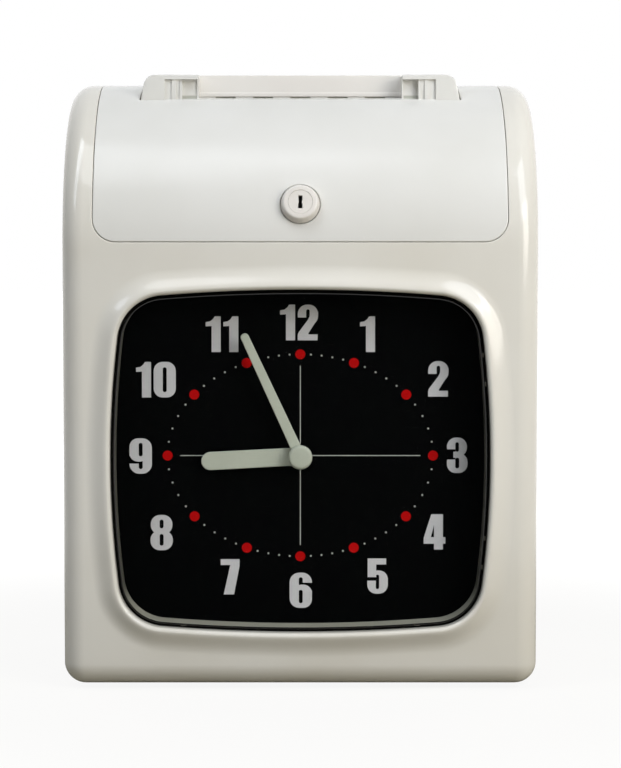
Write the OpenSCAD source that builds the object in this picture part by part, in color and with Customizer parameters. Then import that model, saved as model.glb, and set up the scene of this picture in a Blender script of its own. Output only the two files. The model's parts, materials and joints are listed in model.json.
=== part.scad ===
// Time clock with an analogue dial, a card throat and a locked lid over its printer.
// Millimetres. The origin is on the floor under the middle of the case, +Z is up and the dial faces -Y.

/* [Case] */
// Overall width of the case
case_w = 197; // [190:1:220]
// Height of the case's top above the floor
case_h = 253.6; // [244:0.2:270]
// Overall depth, from the crest of the window frame to the back
case_d = 130; // [126:1:150]
// Thickness of the moulded walls
wall = 2.8; // [2.2:0.1:3.2]
// Radius of the curve that leads from the front to the top
top_r = 70; // [68:1:74]
// Rounding of the upright front edges, the top's side edges and the bottom edges
edge_r = 9; // [7:0.5:10]
// Width of the case's strip behind the lid's hinge
hinge_strip = 8; // [6:0.5:12]
// Rounding of the back edges
back_r = 5; // [3:0.5:6]
// Height of the rubber feet
foot_h = 2; // [1:0.5:5]
// Radius of a rubber foot
foot_r = 7; // [5:0.5:9]
// Distance of the feet's centres from the sides of the case
foot_inset = 27; // [18:1:40]

/* [Window] */
// Width of the window
window_w = 156.6; // [150:0.2:159]
// Height of the window
window_h = 142.5; // [136:0.5:144]
// Rounding of the window's corners
window_corner = 16.5; // [12:0.5:20]
// Radius of the bowed top and bottom edges
window_top_r = 700; // [500:10:1200]
// Radius of the bowed side edges
window_side_r = 417; // [350:1:800]
// Height of the window above the middle of the front below the lid
window_lift = 0.9; // [0:0.1:3]
// Height of the raised frame round the window
rim_h = 3; // [2:0.25:4]
// Width of the raised frame
rim_w = 10; // [8:0.5:11]
// Thickness of the lens
lens_t = 2; // [1.5:0.1:2.5]
// Width of the lens's flange behind the window's edge
lens_flange = 4; // [3:0.25:5]
// Distance of the lens's raised middle from the window's edge
lens_inset = 2.2; // [1.5:0.1:3]
// Depth from the inside of the front to the dial
well_depth = 13.2; // [12.5:0.1:16]
// Thickness of the well's wall round the dial
well_t = 2; // [1.6:0.1:2.4]
// Thickness of the dial
dial_t = 1.5; // [1:0.1:2]
// Height of the hands' axis above the window's middle
axis_lift = 1.5; // [0:0.1:3]

/* [Lid] */
// Distance from the side of the case to the side of the lid
lid_margin = 12.9; // [10:0.1:14]
// Height of the lid's lower edge above the start of the curve
lid_edge_up = 2.8; // [2:0.1:6]
// Rounding of the lid's lower corners
lid_corner = 9.5; // [6:0.5:14]
// Gap between the lid and the case
lid_gap = 0.5; // [0.4:0.05:0.8]
// Distance of the hinge behind the middle of the curve
hinge_back = 14; // [13:0.5:16]
// Radius of the lid's hinge barrel
knuckle_r = 4; // [3.8:0.1:4.4]
// Radius of a hinge pin
pin_r = 1.5; // [1.2:0.1:1.8]
// Length of a hinge pin inside the barrel
pin_depth = 6; // [4:0.5:10]
// Length of a hinge pin inside the case's boss
pin_hold = 3; // [2:0.5:4]
// Thickness of the ledge that the lid closes on
ledge_t = 1.5; // [1.2:0.1:1.8]
// Reach of the ledge under the lid
ledge_reach = 3.5; // [2.5:0.25:4]

/* [Lock] */
// Angle up the curve at which the lock stands
lock_angle = 15; // [14:0.5:18]
// Radius of the lock's collar
collar_r = 8; // [7.8:0.1:8.8]
// Height of the collar above its seat
collar_h = 4.9; // [4:0.1:5]
// Bevel round the collar's front
collar_edge = 1.2; // [0.5:0.1:1.5]
// Radius of the collar's barrel through the lid
barrel_r = 6.5; // [6.3:0.1:6.8]
// Radius of the turning plug
plug_r = 5.4; // [5:0.1:5.6]
// Depth of the collar's seat in the lid
seat_depth = 0.6; // [0.3:0.1:1]
// Length of the cam
cam_l = 22; // [20:0.5:23]
// Width of the cam
cam_w = 9; // [8:0.5:10]
// Thickness of the cam
cam_t = 1.5; // [1.2:0.1:1.8]

/* [Card throat] */
// Width of the throat
throat_w = 136; // [134:1:150]
// Depth of the throat from front to back
throat_d = 25; // [24:0.5:27]
// Height of the throat above the top of the case
throat_rise = 4.2; // [3:0.2:8]
// Width of the card's slot
slot_w = 88; // [86:0.5:92]
// Width between the throat's side walls at the front
flare_w = 116; // [110:1:122]
// Depth of the slot
slot_d = 5.2; // [5:0.1:5.8]
// Height of the throat's front lip below its top
lip_drop = 10.9; // [9:0.1:12]
// Rounding of the throat's upper corners
throat_r = 4; // [2:0.5:6]

/* [Clock movement] */
// Module of the motion work's first pair
wheel_m = 0.8; // [0.8:0.01:0.84]
// Radius of the minute arbor
arbor_r = 1.5; // [1.3:0.05:1.6]
// Wall of the hour pipe
pipe_t = 1; // [0.8:0.05:1.1]
// Wall of the movement's threaded neck
neck_t = 0.85; // [0.7:0.05:1]
// Thickness of the movement's front plate
plate_t = 2; // [1.6:0.1:2.4]
// Depth of the movement's housing
housing_d = 16.5; // [16:0.1:18]
// Wall of the movement's housing
housing_t = 1.6; // [1.2:0.1:2]
// Thickness of the hands
hand_t = 1.2; // [0.8:0.1:1.4]
// Length of the hour hand
hour_l = 40.5; // [36:0.5:46]
// Width of the hour hand
hour_w = 7.7; // [6:0.1:9]
// Length of the minute hand
minute_l = 55; // [50:0.5:58]
// Width of the minute hand at its hub
minute_w = 5; // [4:0.1:6]
// Radius of the cap over the hubs
cap_r = 5; // [5:0.1:6]
// Hour shown by the hands
shown_hour = 8; // [0:1:11]
// Minute shown by the hands
shown_minute = 55.9; // [0:0.1:59.9]

/* [Printer] */
// Width over the printer's side plates
printer_w = 120; // [118:0.5:124]
// Thickness of the steel sheet
sheet_t = 1.2; // [1:0.1:1.5]
// Depth of the frame's top below the top of the case
frame_drop = 17.6; // [17:0.2:20]
// Distance of the card behind the dial
card_back = 29.5; // [29:0.5:32]
// Gap between the two chutes
chute_gap = 4.6; // [4.4:0.1:5]
// Radius of the carriage's guide rod
rod_r = 2.5; // [2:0.1:2.8]
// Radius of the lead screw
screw_r = 3; // [2.6:0.1:3.2]
// Radius of the feed rollers
feed_r = 9; // [8:0.1:9.2]
// Radius of the pinch rollers
pinch_r = 5; // [4.5:0.1:5.3]
// Width of the rollers
roller_w = 12; // [10:0.5:13]
// Module of the printer's gears
drive_m = 0.8; // [0.78:0.01:0.82]
// Width of the printer's gears
gear_w = 3.5; // [3:0.1:4]
// Travel of the set buttons
key_travel = 1.2; // [0.8:0.1:1.3]
// Radius of a set button
key_r = 3.2; // [2.8:0.1:3.6]

/* [Electrics] */
// Thickness of the circuit boards
board_t = 1.6; // [1.2:0.1:2]
// Width of the main board
board_w = 140; // [130:1:144]
// Height of the main board
board_h = 130; // [120:1:136]
// Radius of the cord's gland bore
gland_r = 3.3; // [2.5:0.1:3.8]
// Distance between the wall fixing holes, across
wall_hole_x = 100; // [80:1:120]
// Distance between the wall fixing holes, upwards
wall_hole_z = 168; // [160:1:172]
// Radius of a wall fixing hole
wall_hole_r = 2.5; // [2:0.1:3]

/* [Fasteners and clearances] */
// Radius of the case and frame screws
screw_shank = 1.45; // [1.2:0.05:1.6]
// Radius of the small screws
small_shank = 1.15; // [1:0.05:1.3]
// Radius of the case screws' bosses
boss_r = 4.5; // [4.2:0.1:5]
// Clearance round a shaft or screw in its hole
fit_gap = 0.05; // [0.03:0.01:0.1]
// Clearance between parts that slide past each other
run_gap = 0.3; // [0.2:0.05:0.4]

/* [Hidden] */
$fn = 64;

// Colours
ivory = "#ddd9cc";
dark = "#101112";
steel = "#a9adb0";
zinc = "#c3c6c4";
brass = "#c8a552";
hand_grey = "#a4a697";
board_green = "#2f6b45";
black_plastic = "#26282a";
white_plastic = "#e4e4de";
rubber_black = "#1b1b1b";

// Case planes
half_w = case_w / 2;
crest_y = -case_d / 2;
face_y = crest_y + rim_h;
back_y = case_d / 2;
base_z = foot_h;
floor_z = base_z + wall;
arc_y = face_y + top_r;
arc_z = case_h - top_r;
inner_front_y = face_y + wall;
inner_back_y = back_y - wall;

// Lid, hinge and lock
lid_half = half_w - lid_margin;
lid_low_z = arc_z + lid_edge_up;
hinge_y = arc_y + hinge_back;
split_y = hinge_y + knuckle_r + hinge_strip;
rear_depth = back_y - split_y;
hinge_z = case_h - knuckle_r;
hinge_boss_r = pin_r + 1.7;
hinge_boss_l = pin_hold + 1.2;
plug_rear = -8.7;
barrel_rear = plug_rear + 0.4;
pad_rear = -4;
pad_r = 10;

// Window, lens and dial
window_z = base_z + (lid_low_z - base_z) / 2 + window_lift;
axis_z = window_z + axis_lift;
well_gap = lens_flange + 0.5;
well_out = well_gap + well_t;
dial_y = inner_front_y + well_depth;
dial_back_y = dial_y + dial_t;
dial_ear_x = window_w / 2 + well_out + 2.7;
dial_ear_z = 30;
dial_ear_r = 4;
corner_steps = 8;
long_steps = 9;

// Motion work, measured from the dial's centre
pressure = 20;
addendum = 0.65;
dedendum = 0.95;
tooth_share = 0.42;
cannon_n = 12;
minute_n = 36;
pinion_n = 10;
hour_n = 40;
work_c = wheel_m * (cannon_n + minute_n) / 2;
hour_m = 2 * work_c / (pinion_n + hour_n);
hour_gear_y = dial_back_y + plate_t + 0.8;
hour_gear_t = 2.4;
wheel_y = hour_gear_y + hour_gear_t + 1;
wheel_t = 2;
cannon_y = wheel_y - 0.5;
cannon_t = 3;
housing_x = 34;
housing_up = 23;
housing_down = 39;
housing_back_y = dial_back_y + plate_t + housing_d;
motion_motor_d = 7;
post_r = 3;
post_inset = 4;
pivot_r = 1;
pipe_bore = arbor_r + 2 * fit_gap;
pipe_r = pipe_bore + pipe_t;
neck_bore = pipe_r + 0.15;
neck_r = neck_bore + neck_t;
neck_h = 2.8;
nut_r = 5;
nut_t = 2;
hour_hand_y = dial_y - 4.5;
minute_hand_y = hour_hand_y - 1.5 - hand_t;
cap_t = 2.8;
minute_angle = 90 - 6 * shown_minute;
hour_angle = 90 - 30 * shown_hour - shown_minute / 2;

// Printer
plate_x = printer_w / 2;
plate_in = plate_x - sheet_t;
frame_z = case_h - frame_drop;
card_y = dial_back_y + card_back;
throat_front_y = card_y - 8.5;
chute_front_y = card_y - chute_gap / 2 - sheet_t;
chute_rear_y = card_y + chute_gap / 2;
chute_l = 154;
chute_low_z = frame_z - chute_l;
chute_half = plate_in - 0.1;
panel_y = card_y + 25;
frame_front_y = card_y - 24;
frame_low_z = frame_z - 92;
ear_x = plate_x + 18;
ear_zs = [frame_z - 157, frame_z - 27];
ear_r = 6;
panel_low_z = frame_z - 166;
panel_high_z = frame_z - 1;
under_lid_r = top_r - wall - 3.2;
rod_at = [card_y - 10, frame_z - 58];
rod_end = 0.6;
screw_at = [card_y - 18, frame_z - 62];
journal_r = screw_r - 1.05;
carriage_half = 12;
carriage_top_z = rod_at[1] + 5.5;
carriage_low_z = screw_at[1] - 5.5;
carriage_front_y = screw_at[0] - 5.5;
carriage_back_y = rod_at[0] + 4.5;
head_z = carriage_top_z + 11;
tape_y = chute_front_y - 1.1;
tape_t = 0.2;
tape_h = 10;
gear_big_n = 24;
gear_small_n = 12;
drive_c = drive_m * (gear_big_n + gear_small_n) / 2;
gear_x = plate_x + 1;
head_motor_at = [screw_at[0], screw_at[1] - drive_c];
head_motor_r = 8.5;
head_motor_l = 22.8;
feed_at = [card_y + 0.3 + feed_r, frame_z - 18];
pinch_at = [card_y - 0.3 - pinch_r, frame_z - 18];
feed_angle = -69;
feed_motor_at = feed_at + drive_c * [cos(feed_angle), sin(feed_angle)];
feed_motor_r = 9.5;
feed_motor_l = 20.8;
motor_shaft_r = 1.2;
roller_x = 28;
pinch_shaft_r = 1.5;
roller_open = roller_w / 2 + 1;
cartridge_z = frame_z - 27;
cartridge_h = 15;
cartridge_front_y = card_y - 25;
cartridge_back_y = card_y - 12;
cartridge_peg_r = 2;
arm_x = 50;
arm_w = 6;
platen_half = 48;
platen_h = 10;
knob_at = [35, cartridge_front_y + 6.5];
knob_r = 6;
knob_h = 4;

// Key panel beside the printer
key_front_y = card_y - 23;
key_panel_w = 24;
key_low_z = frame_z - 37;
key_panel_h = 27;
key_board_y = key_front_y + sheet_t + 5.3;
key_x = plate_x + 14;
key_step = 9;
key_z = key_low_z + key_panel_h / 2;
switch_h = 1.5;
key_cap_l = 4;
key_flange_t = 1;

// Electrics and the shells' bosses
boss_x = half_w - wall - boss_r + 0.6;
boss_zs = [base_z + 12, case_h - 27.6];
screw_seat_y = split_y + 10;
tray_depth = 22.2;
tray_y = inner_back_y - tray_depth;
board_y = tray_y;
board_low_z = base_z + 58;
board_post_x = board_w / 2 - 8;
board_post_zs = [board_low_z + 8, board_low_z + board_h - 8];
board_post_r = 3.5;
gland_z = base_z + 18;
side_clear = 22.5;
core_w = 50;
core_t = 15;
core_h = 40;
core_leg = 10;
core_yoke = 7;
coil_out = 5;
cell_r = 7.2;
cell_l = 50;
cell_clear = 1.6;
cell_side_clear = 17.5;
gland_flange_t = 1.2;
gland_barrel_r = gland_r + 1.6;
gland_flange_r = gland_r + 4;
wall_hole_low_z = base_z + 50;
head_r = 2 * screw_shank;
head_t = 2;

// Helpers
module box(low, high) {
    translate(low) cube(high - low);
}

// Solid drawn in the front view, from y back through a depth
module from_front(y, depth) {
    translate([0, y + depth, 0]) rotate([90, 0, 0]) linear_extrude(depth) children();
}

// Solid drawn in the side view, with y across and z up, from x through a width
module from_side(x, width) {
    translate([x, 0, 0]) rotate([90, 0, 90]) linear_extrude(width) children();
}

// Round bar along x at a place [y, z]
module bar_x(x, length, r, at) {
    translate([x, at[0], at[1]]) rotate([0, 90, 0]) cylinder(h = length, r = r);
}

// Round bar along y at a place [x, z]
module bar_y(y, depth, r, at) {
    translate([at[0], y, at[1]]) rotate([-90, 0, 0]) cylinder(h = depth, r = r);
}

// Profile drawn as [radius, x], turned about the middle of the top curve, 0 at the front and 90 at the top
module round_the_top(from, to) {
    translate([0, arc_y, arc_z]) rotate([90, 0, -90]) rotate([0, 0, from])
        rotate_extrude(angle = to - from) children();
}

module mirrored() {
    children();
    mirror([1, 0, 0]) children();
}

// Rectangle with its lower and upper corners rounded
module soft_rect(low, high, low_r, high_r) {
    difference() {
        translate(low) square(high - low);
        for (side = [0, 1]) {
            corner_x = side == 0 ? low[0] : high[0];
            turn = side == 0 ? 1 : -1;
            translate([corner_x, low[1]]) scale([turn, 1]) corner_waste(low_r);
            translate([corner_x, high[1]]) scale([turn, -1]) corner_waste(high_r);
        }
    }
}

// What a rounding of radius r takes off a corner at the origin
module corner_waste(r) {
    if (r > 0) difference() {
        translate([-1, -1]) square(r + 1);
        translate([r, r]) circle(r);
    }
}

// Bar with round ends, from the origin to length along the angle
module round_bar(length, width, angle) {
    rotate(angle) {
        translate([0, -width / 2]) square([length - width / 2, width]);
        translate([length - width / 2, 0]) circle(width / 2);
        circle(width / 2);
    }
}

function involute(r, base) = r <= base ? 0 : sqrt(pow(r / base, 2) - 1) * 180 / PI - acos(base / r);
function tooth_half(n, m, r) = tooth_share * 180 / n
    + involute(n * m / 2, n * m / 2 * cos(pressure)) - involute(r, n * m / 2 * cos(pressure));
function on_circle(r, a) = r * [cos(a), sin(a)];

// Spur gear outline with one tooth centred on the angle turn
module gear_outline(n, m, turn) {
    pitch_r = n * m / 2;
    rise = [pitch_r - dedendum * m, pitch_r, pitch_r + addendum * m];
    polygon([for (i = [0 : n - 1])
        each [for (k = [0 : 5])
            let (r = rise[k < 3 ? k : 5 - k], side = k < 3 ? -1 : 1)
            on_circle(r, turn + 360 * i / n + side * tooth_half(n, m, r))]]);
}

// Window outline: four bowed edges and four round corners, all moved out by grow
side_c = [window_w / 2 - window_side_r, 0];
top_c = [0, window_h / 2 - window_top_r];
between = norm(side_c - top_c);
toward = (side_c - top_c) / between;
along = (pow(between, 2) + pow(window_top_r - window_corner, 2)
    - pow(window_side_r - window_corner, 2)) / (2 * between);
across = sqrt(pow(window_top_r - window_corner, 2) - pow(along, 2));
corner_c = top_c + along * toward + across * [toward[1], -toward[0]];
side_a = atan2(corner_c[1], corner_c[0] - side_c[0]);
top_a = atan2(corner_c[1] - top_c[1], corner_c[0]);

function arc(c, r, from, to, steps) =
    [for (i = [0 : steps - 1]) c + on_circle(r, from + (to - from) * i / steps)];
window_arcs = [
    [side_c, window_side_r, -side_a, side_a, long_steps],
    [corner_c, window_corner, side_a, top_a, corner_steps],
    [top_c, window_top_r, top_a, 180 - top_a, long_steps],
    [[-corner_c[0], corner_c[1]], window_corner, 180 - top_a, 180 - side_a, corner_steps],
    [-side_c, window_side_r, 180 - side_a, 180 + side_a, long_steps],
    [-corner_c, window_corner, 180 + side_a, 180 + top_a, corner_steps],
    [-top_c, window_top_r, 180 + top_a, 360 - top_a, long_steps],
    [[corner_c[0], -corner_c[1]], window_corner, 360 - top_a, 360 - side_a, corner_steps]];
function window_points(grow) = [for (a = window_arcs) each arc(a[0], a[1] + grow, a[2], a[3], a[4])];

module window_outline(grow) {
    translate([0, window_z]) polygon(window_points(grow));
}

// Raised frame round the window: a soft section swept round the outline, rooted in the front wall
module window_frame() {
    root = wall / 3;
    step = 0.3;
    slope = 0.2 * rim_h / (0.25 * rim_w);
    section = [[step, -root], [step, rim_h - 1.4], [step + 0.4, rim_h - 0.4], [1.6, rim_h], [3, rim_h - 0.2],
        [5, 0.6 * rim_h], [0.75 * rim_w, 0.2 * rim_h], [rim_w + 1, -slope], [rim_w + 1, -root]];
    rings = len(section);
    count = len(window_points(0));
    points = [for (s = section) each [for (p = window_points(s[0])) [p[0], face_y - s[1], p[1] + window_z]]];
    faces = [for (i = [0 : rings - 1]) each [for (j = [0 : count - 1])
        let (a = i * count, b = (i + 1) % rings * count, k = (j + 1) % count)
        each [[a + j, a + k, b + k], [a + j, b + k, b + j]]]];
    polyhedron(points, faces);
}

// Outer form of the case, or its hollow, moved in by inset, from the front to a plane y
module case_form(inset, to_y) {
    w = half_w - inset;
    r = edge_r - inset;
    low = base_z + inset;
    intersection() {
        union() {
            translate([0, 0, low]) linear_extrude(arc_z - low)
                soft_rect([-w, face_y + inset], [w, to_y], r, 0);
            round_the_top(0, 90) barrel_section(inset);
            from_front(arc_y, to_y - arc_y) soft_rect([-w, arc_z], [w, arc_z + top_r - inset], 0, r);
        }
        from_side(-half_w, case_w) side_form(inset, to_y);
        from_front(face_y, to_y - face_y) soft_rect([-w, low], [w, case_h], r, 0);
    }
}

// Half of the barrel's section: out to the curve's radius, with rounded sides
module barrel_section(inset) {
    w = half_w - inset;
    difference() {
        translate([0, -w]) square([top_r - inset, 2 * w]);
        for (side = [-1, 1])
            translate([top_r - inset, side * w]) scale([-1, -side]) corner_waste(edge_r - inset);
    }
}

// Side view of the case with its rounded lower front edge
module side_form(inset, to_y) {
    low = base_z + inset;
    difference() {
        translate([face_y + inset, low]) square([to_y - face_y - inset, case_h - low]);
        translate([face_y + inset, low]) corner_waste(edge_r - inset);
    }
}

// Front view of the lid, grown by a gap
module lid_outline(gap) {
    soft_rect([-lid_half - gap, lid_low_z - gap], [lid_half + gap, case_h + 1], lid_corner + gap, 0);
}

// Place on the lid's surface with +Z out of it
module at_lock() {
    translate([0, arc_y, arc_z]) rotate([90 - lock_angle, 0, 0]) translate([0, 0, top_r]) children();
}

module at_screws(y) {
    for (x = [-boss_x, boss_x], z = boss_zs)
        translate([x, y, z]) rotate([-90, 0, 0]) children();
}

module front_case() {
    color(ivory) difference() {
        union() {
            difference() {
                case_form(0, split_y);
                case_form(wall, split_y + 1);
                from_front(crest_y - 1, hinge_y + knuckle_r + lid_gap - crest_y + 1) lid_outline(lid_gap);
                from_front(face_y - 1, wall + 2) window_outline(0);
            }
            window_frame();
            dial_well();
            lid_ledge();
            at_screws(split_y - 14) cylinder(h = 14, r = boss_r);
            mirrored() bar_x(lid_half + lid_gap + 0.1, hinge_boss_l, hinge_boss_r, [hinge_y, hinge_z]);
        }
        at_screws(split_y - 13) cylinder(h = 14, r = screw_shank + fit_gap);
        mirrored() bar_x(lid_half, lid_gap + pin_hold + run_gap, pin_r + fit_gap, [hinge_y, hinge_z]);
    }
}

// Wall round the dial behind the window, with a boss for each of the dial's ears
module dial_well() {
    start_y = inner_front_y - wall / 2;
    from_front(start_y, dial_y - start_y) difference() {
        union() {
            window_outline(well_out);
            for (x = [-1, 1], z = [-1, 1])
                translate([x * dial_ear_x, window_z + z * dial_ear_z]) circle(dial_ear_r);
        }
        window_outline(well_gap);
    }
}

// Ledge behind the lid's sides and lower edge
module lid_ledge() {
    under = top_r - wall;
    seat = under - run_gap;
    outer_x = lid_half + lid_gap + 2;
    mirrored() round_the_top(3, 84) polygon([[seat - ledge_t, lid_half - ledge_reach],
        [seat, lid_half - ledge_reach], [seat, lid_half + lid_gap], [under + 0.5, lid_half + lid_gap],
        [under + 0.5, outer_x], [seat - ledge_t, outer_x]]);
    low_x = lid_half + lid_gap + 1;
    low_y = inner_front_y + 1.6;
    box([-low_x, low_y, lid_low_z - lid_gap - 3], [low_x, low_y + ledge_t, lid_low_z + ledge_reach]);
    box([-low_x, inner_front_y - wall / 2, lid_low_z - lid_gap - 3],
        [low_x, low_y + ledge_t, lid_low_z - lid_gap]);
}

// Outer form of the rear shell, or its hollow
module rear_form(inset, from_y) {
    w = half_w - inset;
    low = base_z + inset;
    high = case_h - inset;
    r = edge_r - inset;
    back = back_y - inset;
    intersection() {
        from_front(from_y, back - from_y) soft_rect([-w, low], [w, high], r, r);
        translate([0, 0, base_z]) linear_extrude(case_h - base_z)
            soft_rect([-w, from_y], [w, back], 0, max(back_r - inset, 0.5));
        from_side(-half_w, case_w) back_form(inset, from_y);
    }
}

// Side view of the rear shell with rounded back edges
module back_form(inset, from_y) {
    low = base_z + inset;
    high = case_h - inset;
    back = back_y - inset;
    r = max(back_r - inset, 0.5);
    difference() {
        translate([from_y, low]) square([back - from_y, high - low]);
        translate([back, low]) scale([-1, 1]) corner_waste(r);
        translate([back, high]) scale([-1, -1]) corner_waste(r);
    }
}

module rear_case() {
    color(ivory) difference() {
        union() {
            difference() {
                rear_form(0, split_y);
                rear_form(wall, split_y - 1);
            }
            at_screws(split_y) cylinder(h = rear_depth - 1, r = boss_r);
            at_ears(panel_y + sheet_t) cylinder(h = inner_back_y + 0.5 - panel_y - sheet_t, r = ear_r - 1);
            at_board(board_y + board_t) cylinder(h = inner_back_y + 0.5 - board_y - board_t, r = board_post_r);
        }
        at_screws(split_y - 1) cylinder(h = rear_depth + 2, r = screw_shank + 2 * fit_gap);
        at_screws(screw_seat_y) cylinder(h = rear_depth, r = head_r + run_gap);
        at_ears(panel_y) cylinder(h = 14, r = screw_shank + fit_gap);
        at_board(board_y) cylinder(h = 12, r = small_shank + fit_gap);
        for (x = [-1, 1], z = [0, 1])
            bar_y(inner_back_y - 1, wall + 2, wall_hole_r,
                [x * wall_hole_x / 2, wall_hole_low_z + z * wall_hole_z]);
        bar_y(inner_back_y - 1, wall + 2, gland_barrel_r + fit_gap, [0, gland_z]);
        bar_y(back_y - gland_flange_t, wall, gland_flange_r + fit_gap, [0, gland_z]);
    }
}

module at_ears(y) {
    for (x = [-ear_x, ear_x], z = ear_zs)
        translate([x, y, z]) rotate([-90, 0, 0]) children();
}

module at_board(y) {
    for (x = [-board_post_x, board_post_x], z = board_post_zs)
        translate([x, y, z]) rotate([-90, 0, 0]) children();
}

module rubber_feet() {
    color(rubber_black) for (x = [-1, 1], y = [face_y + foot_inset, back_y - foot_inset])
        translate([x * (half_w - foot_inset), y, 0]) cylinder(h = foot_h, r = foot_r);
}

module case_screws() {
    color(steel) at_screws(screw_seat_y) screw(head_r, head_t, screw_shank, 20);
}

// Screw with its head on the seat at the origin and its shank towards -Z
module screw(cap, cap_h, shank, length) {
    difference() {
        cylinder(h = cap_h, r = cap);
        translate([-0.4, -cap, cap_h - 0.6]) cube([0.8, 2 * cap, 1]);
    }
    translate([0, 0, -length]) cylinder(h = length + 0.5, r = shank);
}

module cord_gland() {
    color(rubber_black) difference() {
        union() {
            bar_y(inner_back_y - 4, wall + 4, gland_barrel_r, [0, gland_z]);
            bar_y(back_y - gland_flange_t, gland_flange_t, gland_flange_r, [0, gland_z]);
        }
        bar_y(inner_back_y - 5, wall + 6, gland_r, [0, gland_z]);
    }
}

module window_lens() {
    raised_y = face_y + 0.3;
    color("#aebcc0", 0.35) difference() {
        union() {
            from_front(inner_front_y, lens_t) window_outline(lens_flange);
            from_front(raised_y, inner_front_y - raised_y + 0.5) window_outline(-lens_inset);
        }
        from_front(raised_y + lens_t, wall + lens_t) window_outline(-lens_inset - lens_t);
    }
}

module dial() {
    color(dark) difference() {
        from_front(dial_y, dial_t) {
            window_outline(well_out);
            for (x = [-1, 1], z = [-1, 1])
                translate([x * dial_ear_x, window_z + z * dial_ear_z]) circle(dial_ear_r);
        }
        bar_y(dial_y - 1, dial_t + 2, neck_r + fit_gap, [0, axis_z]);
    }
}

module card_throat() {
    w = throat_w / 2;
    back = throat_front_y + throat_d;
    top_z = case_h + throat_rise;
    lip_z = top_z - lip_drop;
    slot_y = card_y - slot_d / 2;
    color(ivory) difference() {
        from_front(throat_front_y, throat_d) soft_rect([-w, frame_z], [w, top_z], 0, throat_r);
        translate([0, 0, lip_z]) linear_extrude(lip_drop + 1) polygon([[-flare_w / 2, throat_front_y - 1],
            [flare_w / 2, throat_front_y - 1], [slot_w / 2, slot_y + slot_d], [-slot_w / 2, slot_y + slot_d]]);
        box([-slot_w / 2, slot_y, frame_z - 1], [slot_w / 2, slot_y + slot_d, top_z]);
        box([wall - w, slot_y + slot_d + wall, frame_z - 1], [w - wall, back - wall, top_z - wall]);
    }
}

module top_lid() {
    under = top_r - wall;
    color(ivory) difference() {
        union() {
            intersection() {
                union() {
                    round_the_top(0, 90) translate([under, -lid_half]) square([wall, 2 * lid_half]);
                    box([-lid_half, arc_y, case_h - wall], [lid_half, hinge_y, case_h]);
                }
                from_front(face_y - 1, hinge_y - face_y + 1) lid_outline(0);
            }
            bar_x(-lid_half, 2 * lid_half, knuckle_r, [hinge_y, hinge_z]);
            at_lock() translate([0, 0, pad_rear]) cylinder(h = -pad_rear - 1, r = pad_r);
        }
        mirrored() bar_x(lid_half - pin_depth - 1, pin_depth + 2, pin_r + 2 * fit_gap, [hinge_y, hinge_z]);
        box([-throat_w / 2 - lid_gap, throat_front_y - lid_gap, arc_z],
            [throat_w / 2 + lid_gap, throat_front_y + throat_d + lid_gap, case_h + 1]);
        at_lock() translate([0, 0, -seat_depth]) cylinder(h = 4, r = collar_r + run_gap);
        at_lock() translate([0, 0, pad_rear - 1]) cylinder(h = 6, r = barrel_r + fit_gap);
    }
}

module hinge_pins() {
    color(steel) mirrored()
        bar_x(lid_half - pin_depth, pin_depth + lid_gap + pin_hold, pin_r, [hinge_y, hinge_z]);
}

module lock_collar() {
    rise = collar_h - seat_depth;
    color(zinc) at_lock() difference() {
        union() {
            rotate_extrude() polygon([[0, -seat_depth], [collar_r, -seat_depth],
                [collar_r, rise - collar_edge], [collar_r - collar_edge, rise], [0, rise]]);
            translate([0, 0, barrel_rear]) cylinder(h = -barrel_rear, r = barrel_r);
        }
        translate([0, 0, barrel_rear - 1]) cylinder(h = rise - barrel_rear + 2, r = plug_r + 2 * fit_gap);
    }
}

module lock_nut() {
    color(steel) at_lock() translate([0, 0, pad_rear - 3.5]) difference() {
        cylinder(h = 3.5, r = barrel_r + 3, $fn = 6);
        translate([0, 0, -1]) cylinder(h = 6, r = barrel_r + fit_gap);
    }
}

module lock_plug() {
    rise = collar_h - seat_depth - 0.2;
    stud = 2.2;
    color(zinc) at_lock() difference() {
        union() {
            translate([0, 0, plug_rear]) cylinder(h = rise - plug_rear, r = plug_r);
            translate([-stud, -stud, plug_rear - cam_t]) cube([2 * stud, 2 * stud, cam_t + 1]);
        }
        translate([-0.8, -2.7, rise - 7]) cube([1.6, 5.4, 8]);
        translate([0, 0, plug_rear - cam_t - 1]) cylinder(h = 5, r = small_shank + fit_gap);
    }
}

module lock_cam() {
    hole = 2.2 + fit_gap;
    color(steel) at_lock() translate([0, 0, plug_rear - cam_t]) linear_extrude(cam_t) difference() {
        round_bar(cam_l, cam_w, 0);
        translate([-hole, -hole]) square(2 * hole);
    }
}

module cam_screw() {
    color(steel) at_lock() translate([0, 0, plug_rear - cam_t]) rotate([180, 0, 0])
        screw(3.6, 1.2, small_shank, 3.5);
}

// Clock movement
module movement_plate() {
    color(zinc) difference() {
        union() {
            from_front(dial_back_y, plate_t) movement_outline();
            bar_y(dial_y - neck_h, neck_h + dial_t + 0.5, neck_r, [0, axis_z]);
        }
        bar_y(dial_y - neck_h - 1, neck_h + dial_t + plate_t + 2, neck_bore, [0, axis_z]);
        bar_y(dial_back_y + 0.5, plate_t, pivot_r + fit_gap, [0, axis_z - work_c]);
        at_movement_posts(dial_back_y + 0.3) cylinder(h = plate_t, r = small_shank + fit_gap);
    }
}

module movement_outline() {
    translate([-housing_x, axis_z - housing_down]) square([2 * housing_x, housing_up + housing_down]);
}

module at_movement_posts(y) {
    for (x = [post_inset - housing_x, housing_x - post_inset],
        z = [axis_z + housing_up - post_inset, axis_z - housing_down + post_inset])
        translate([x, y, z]) rotate([-90, 0, 0]) children();
}

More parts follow.
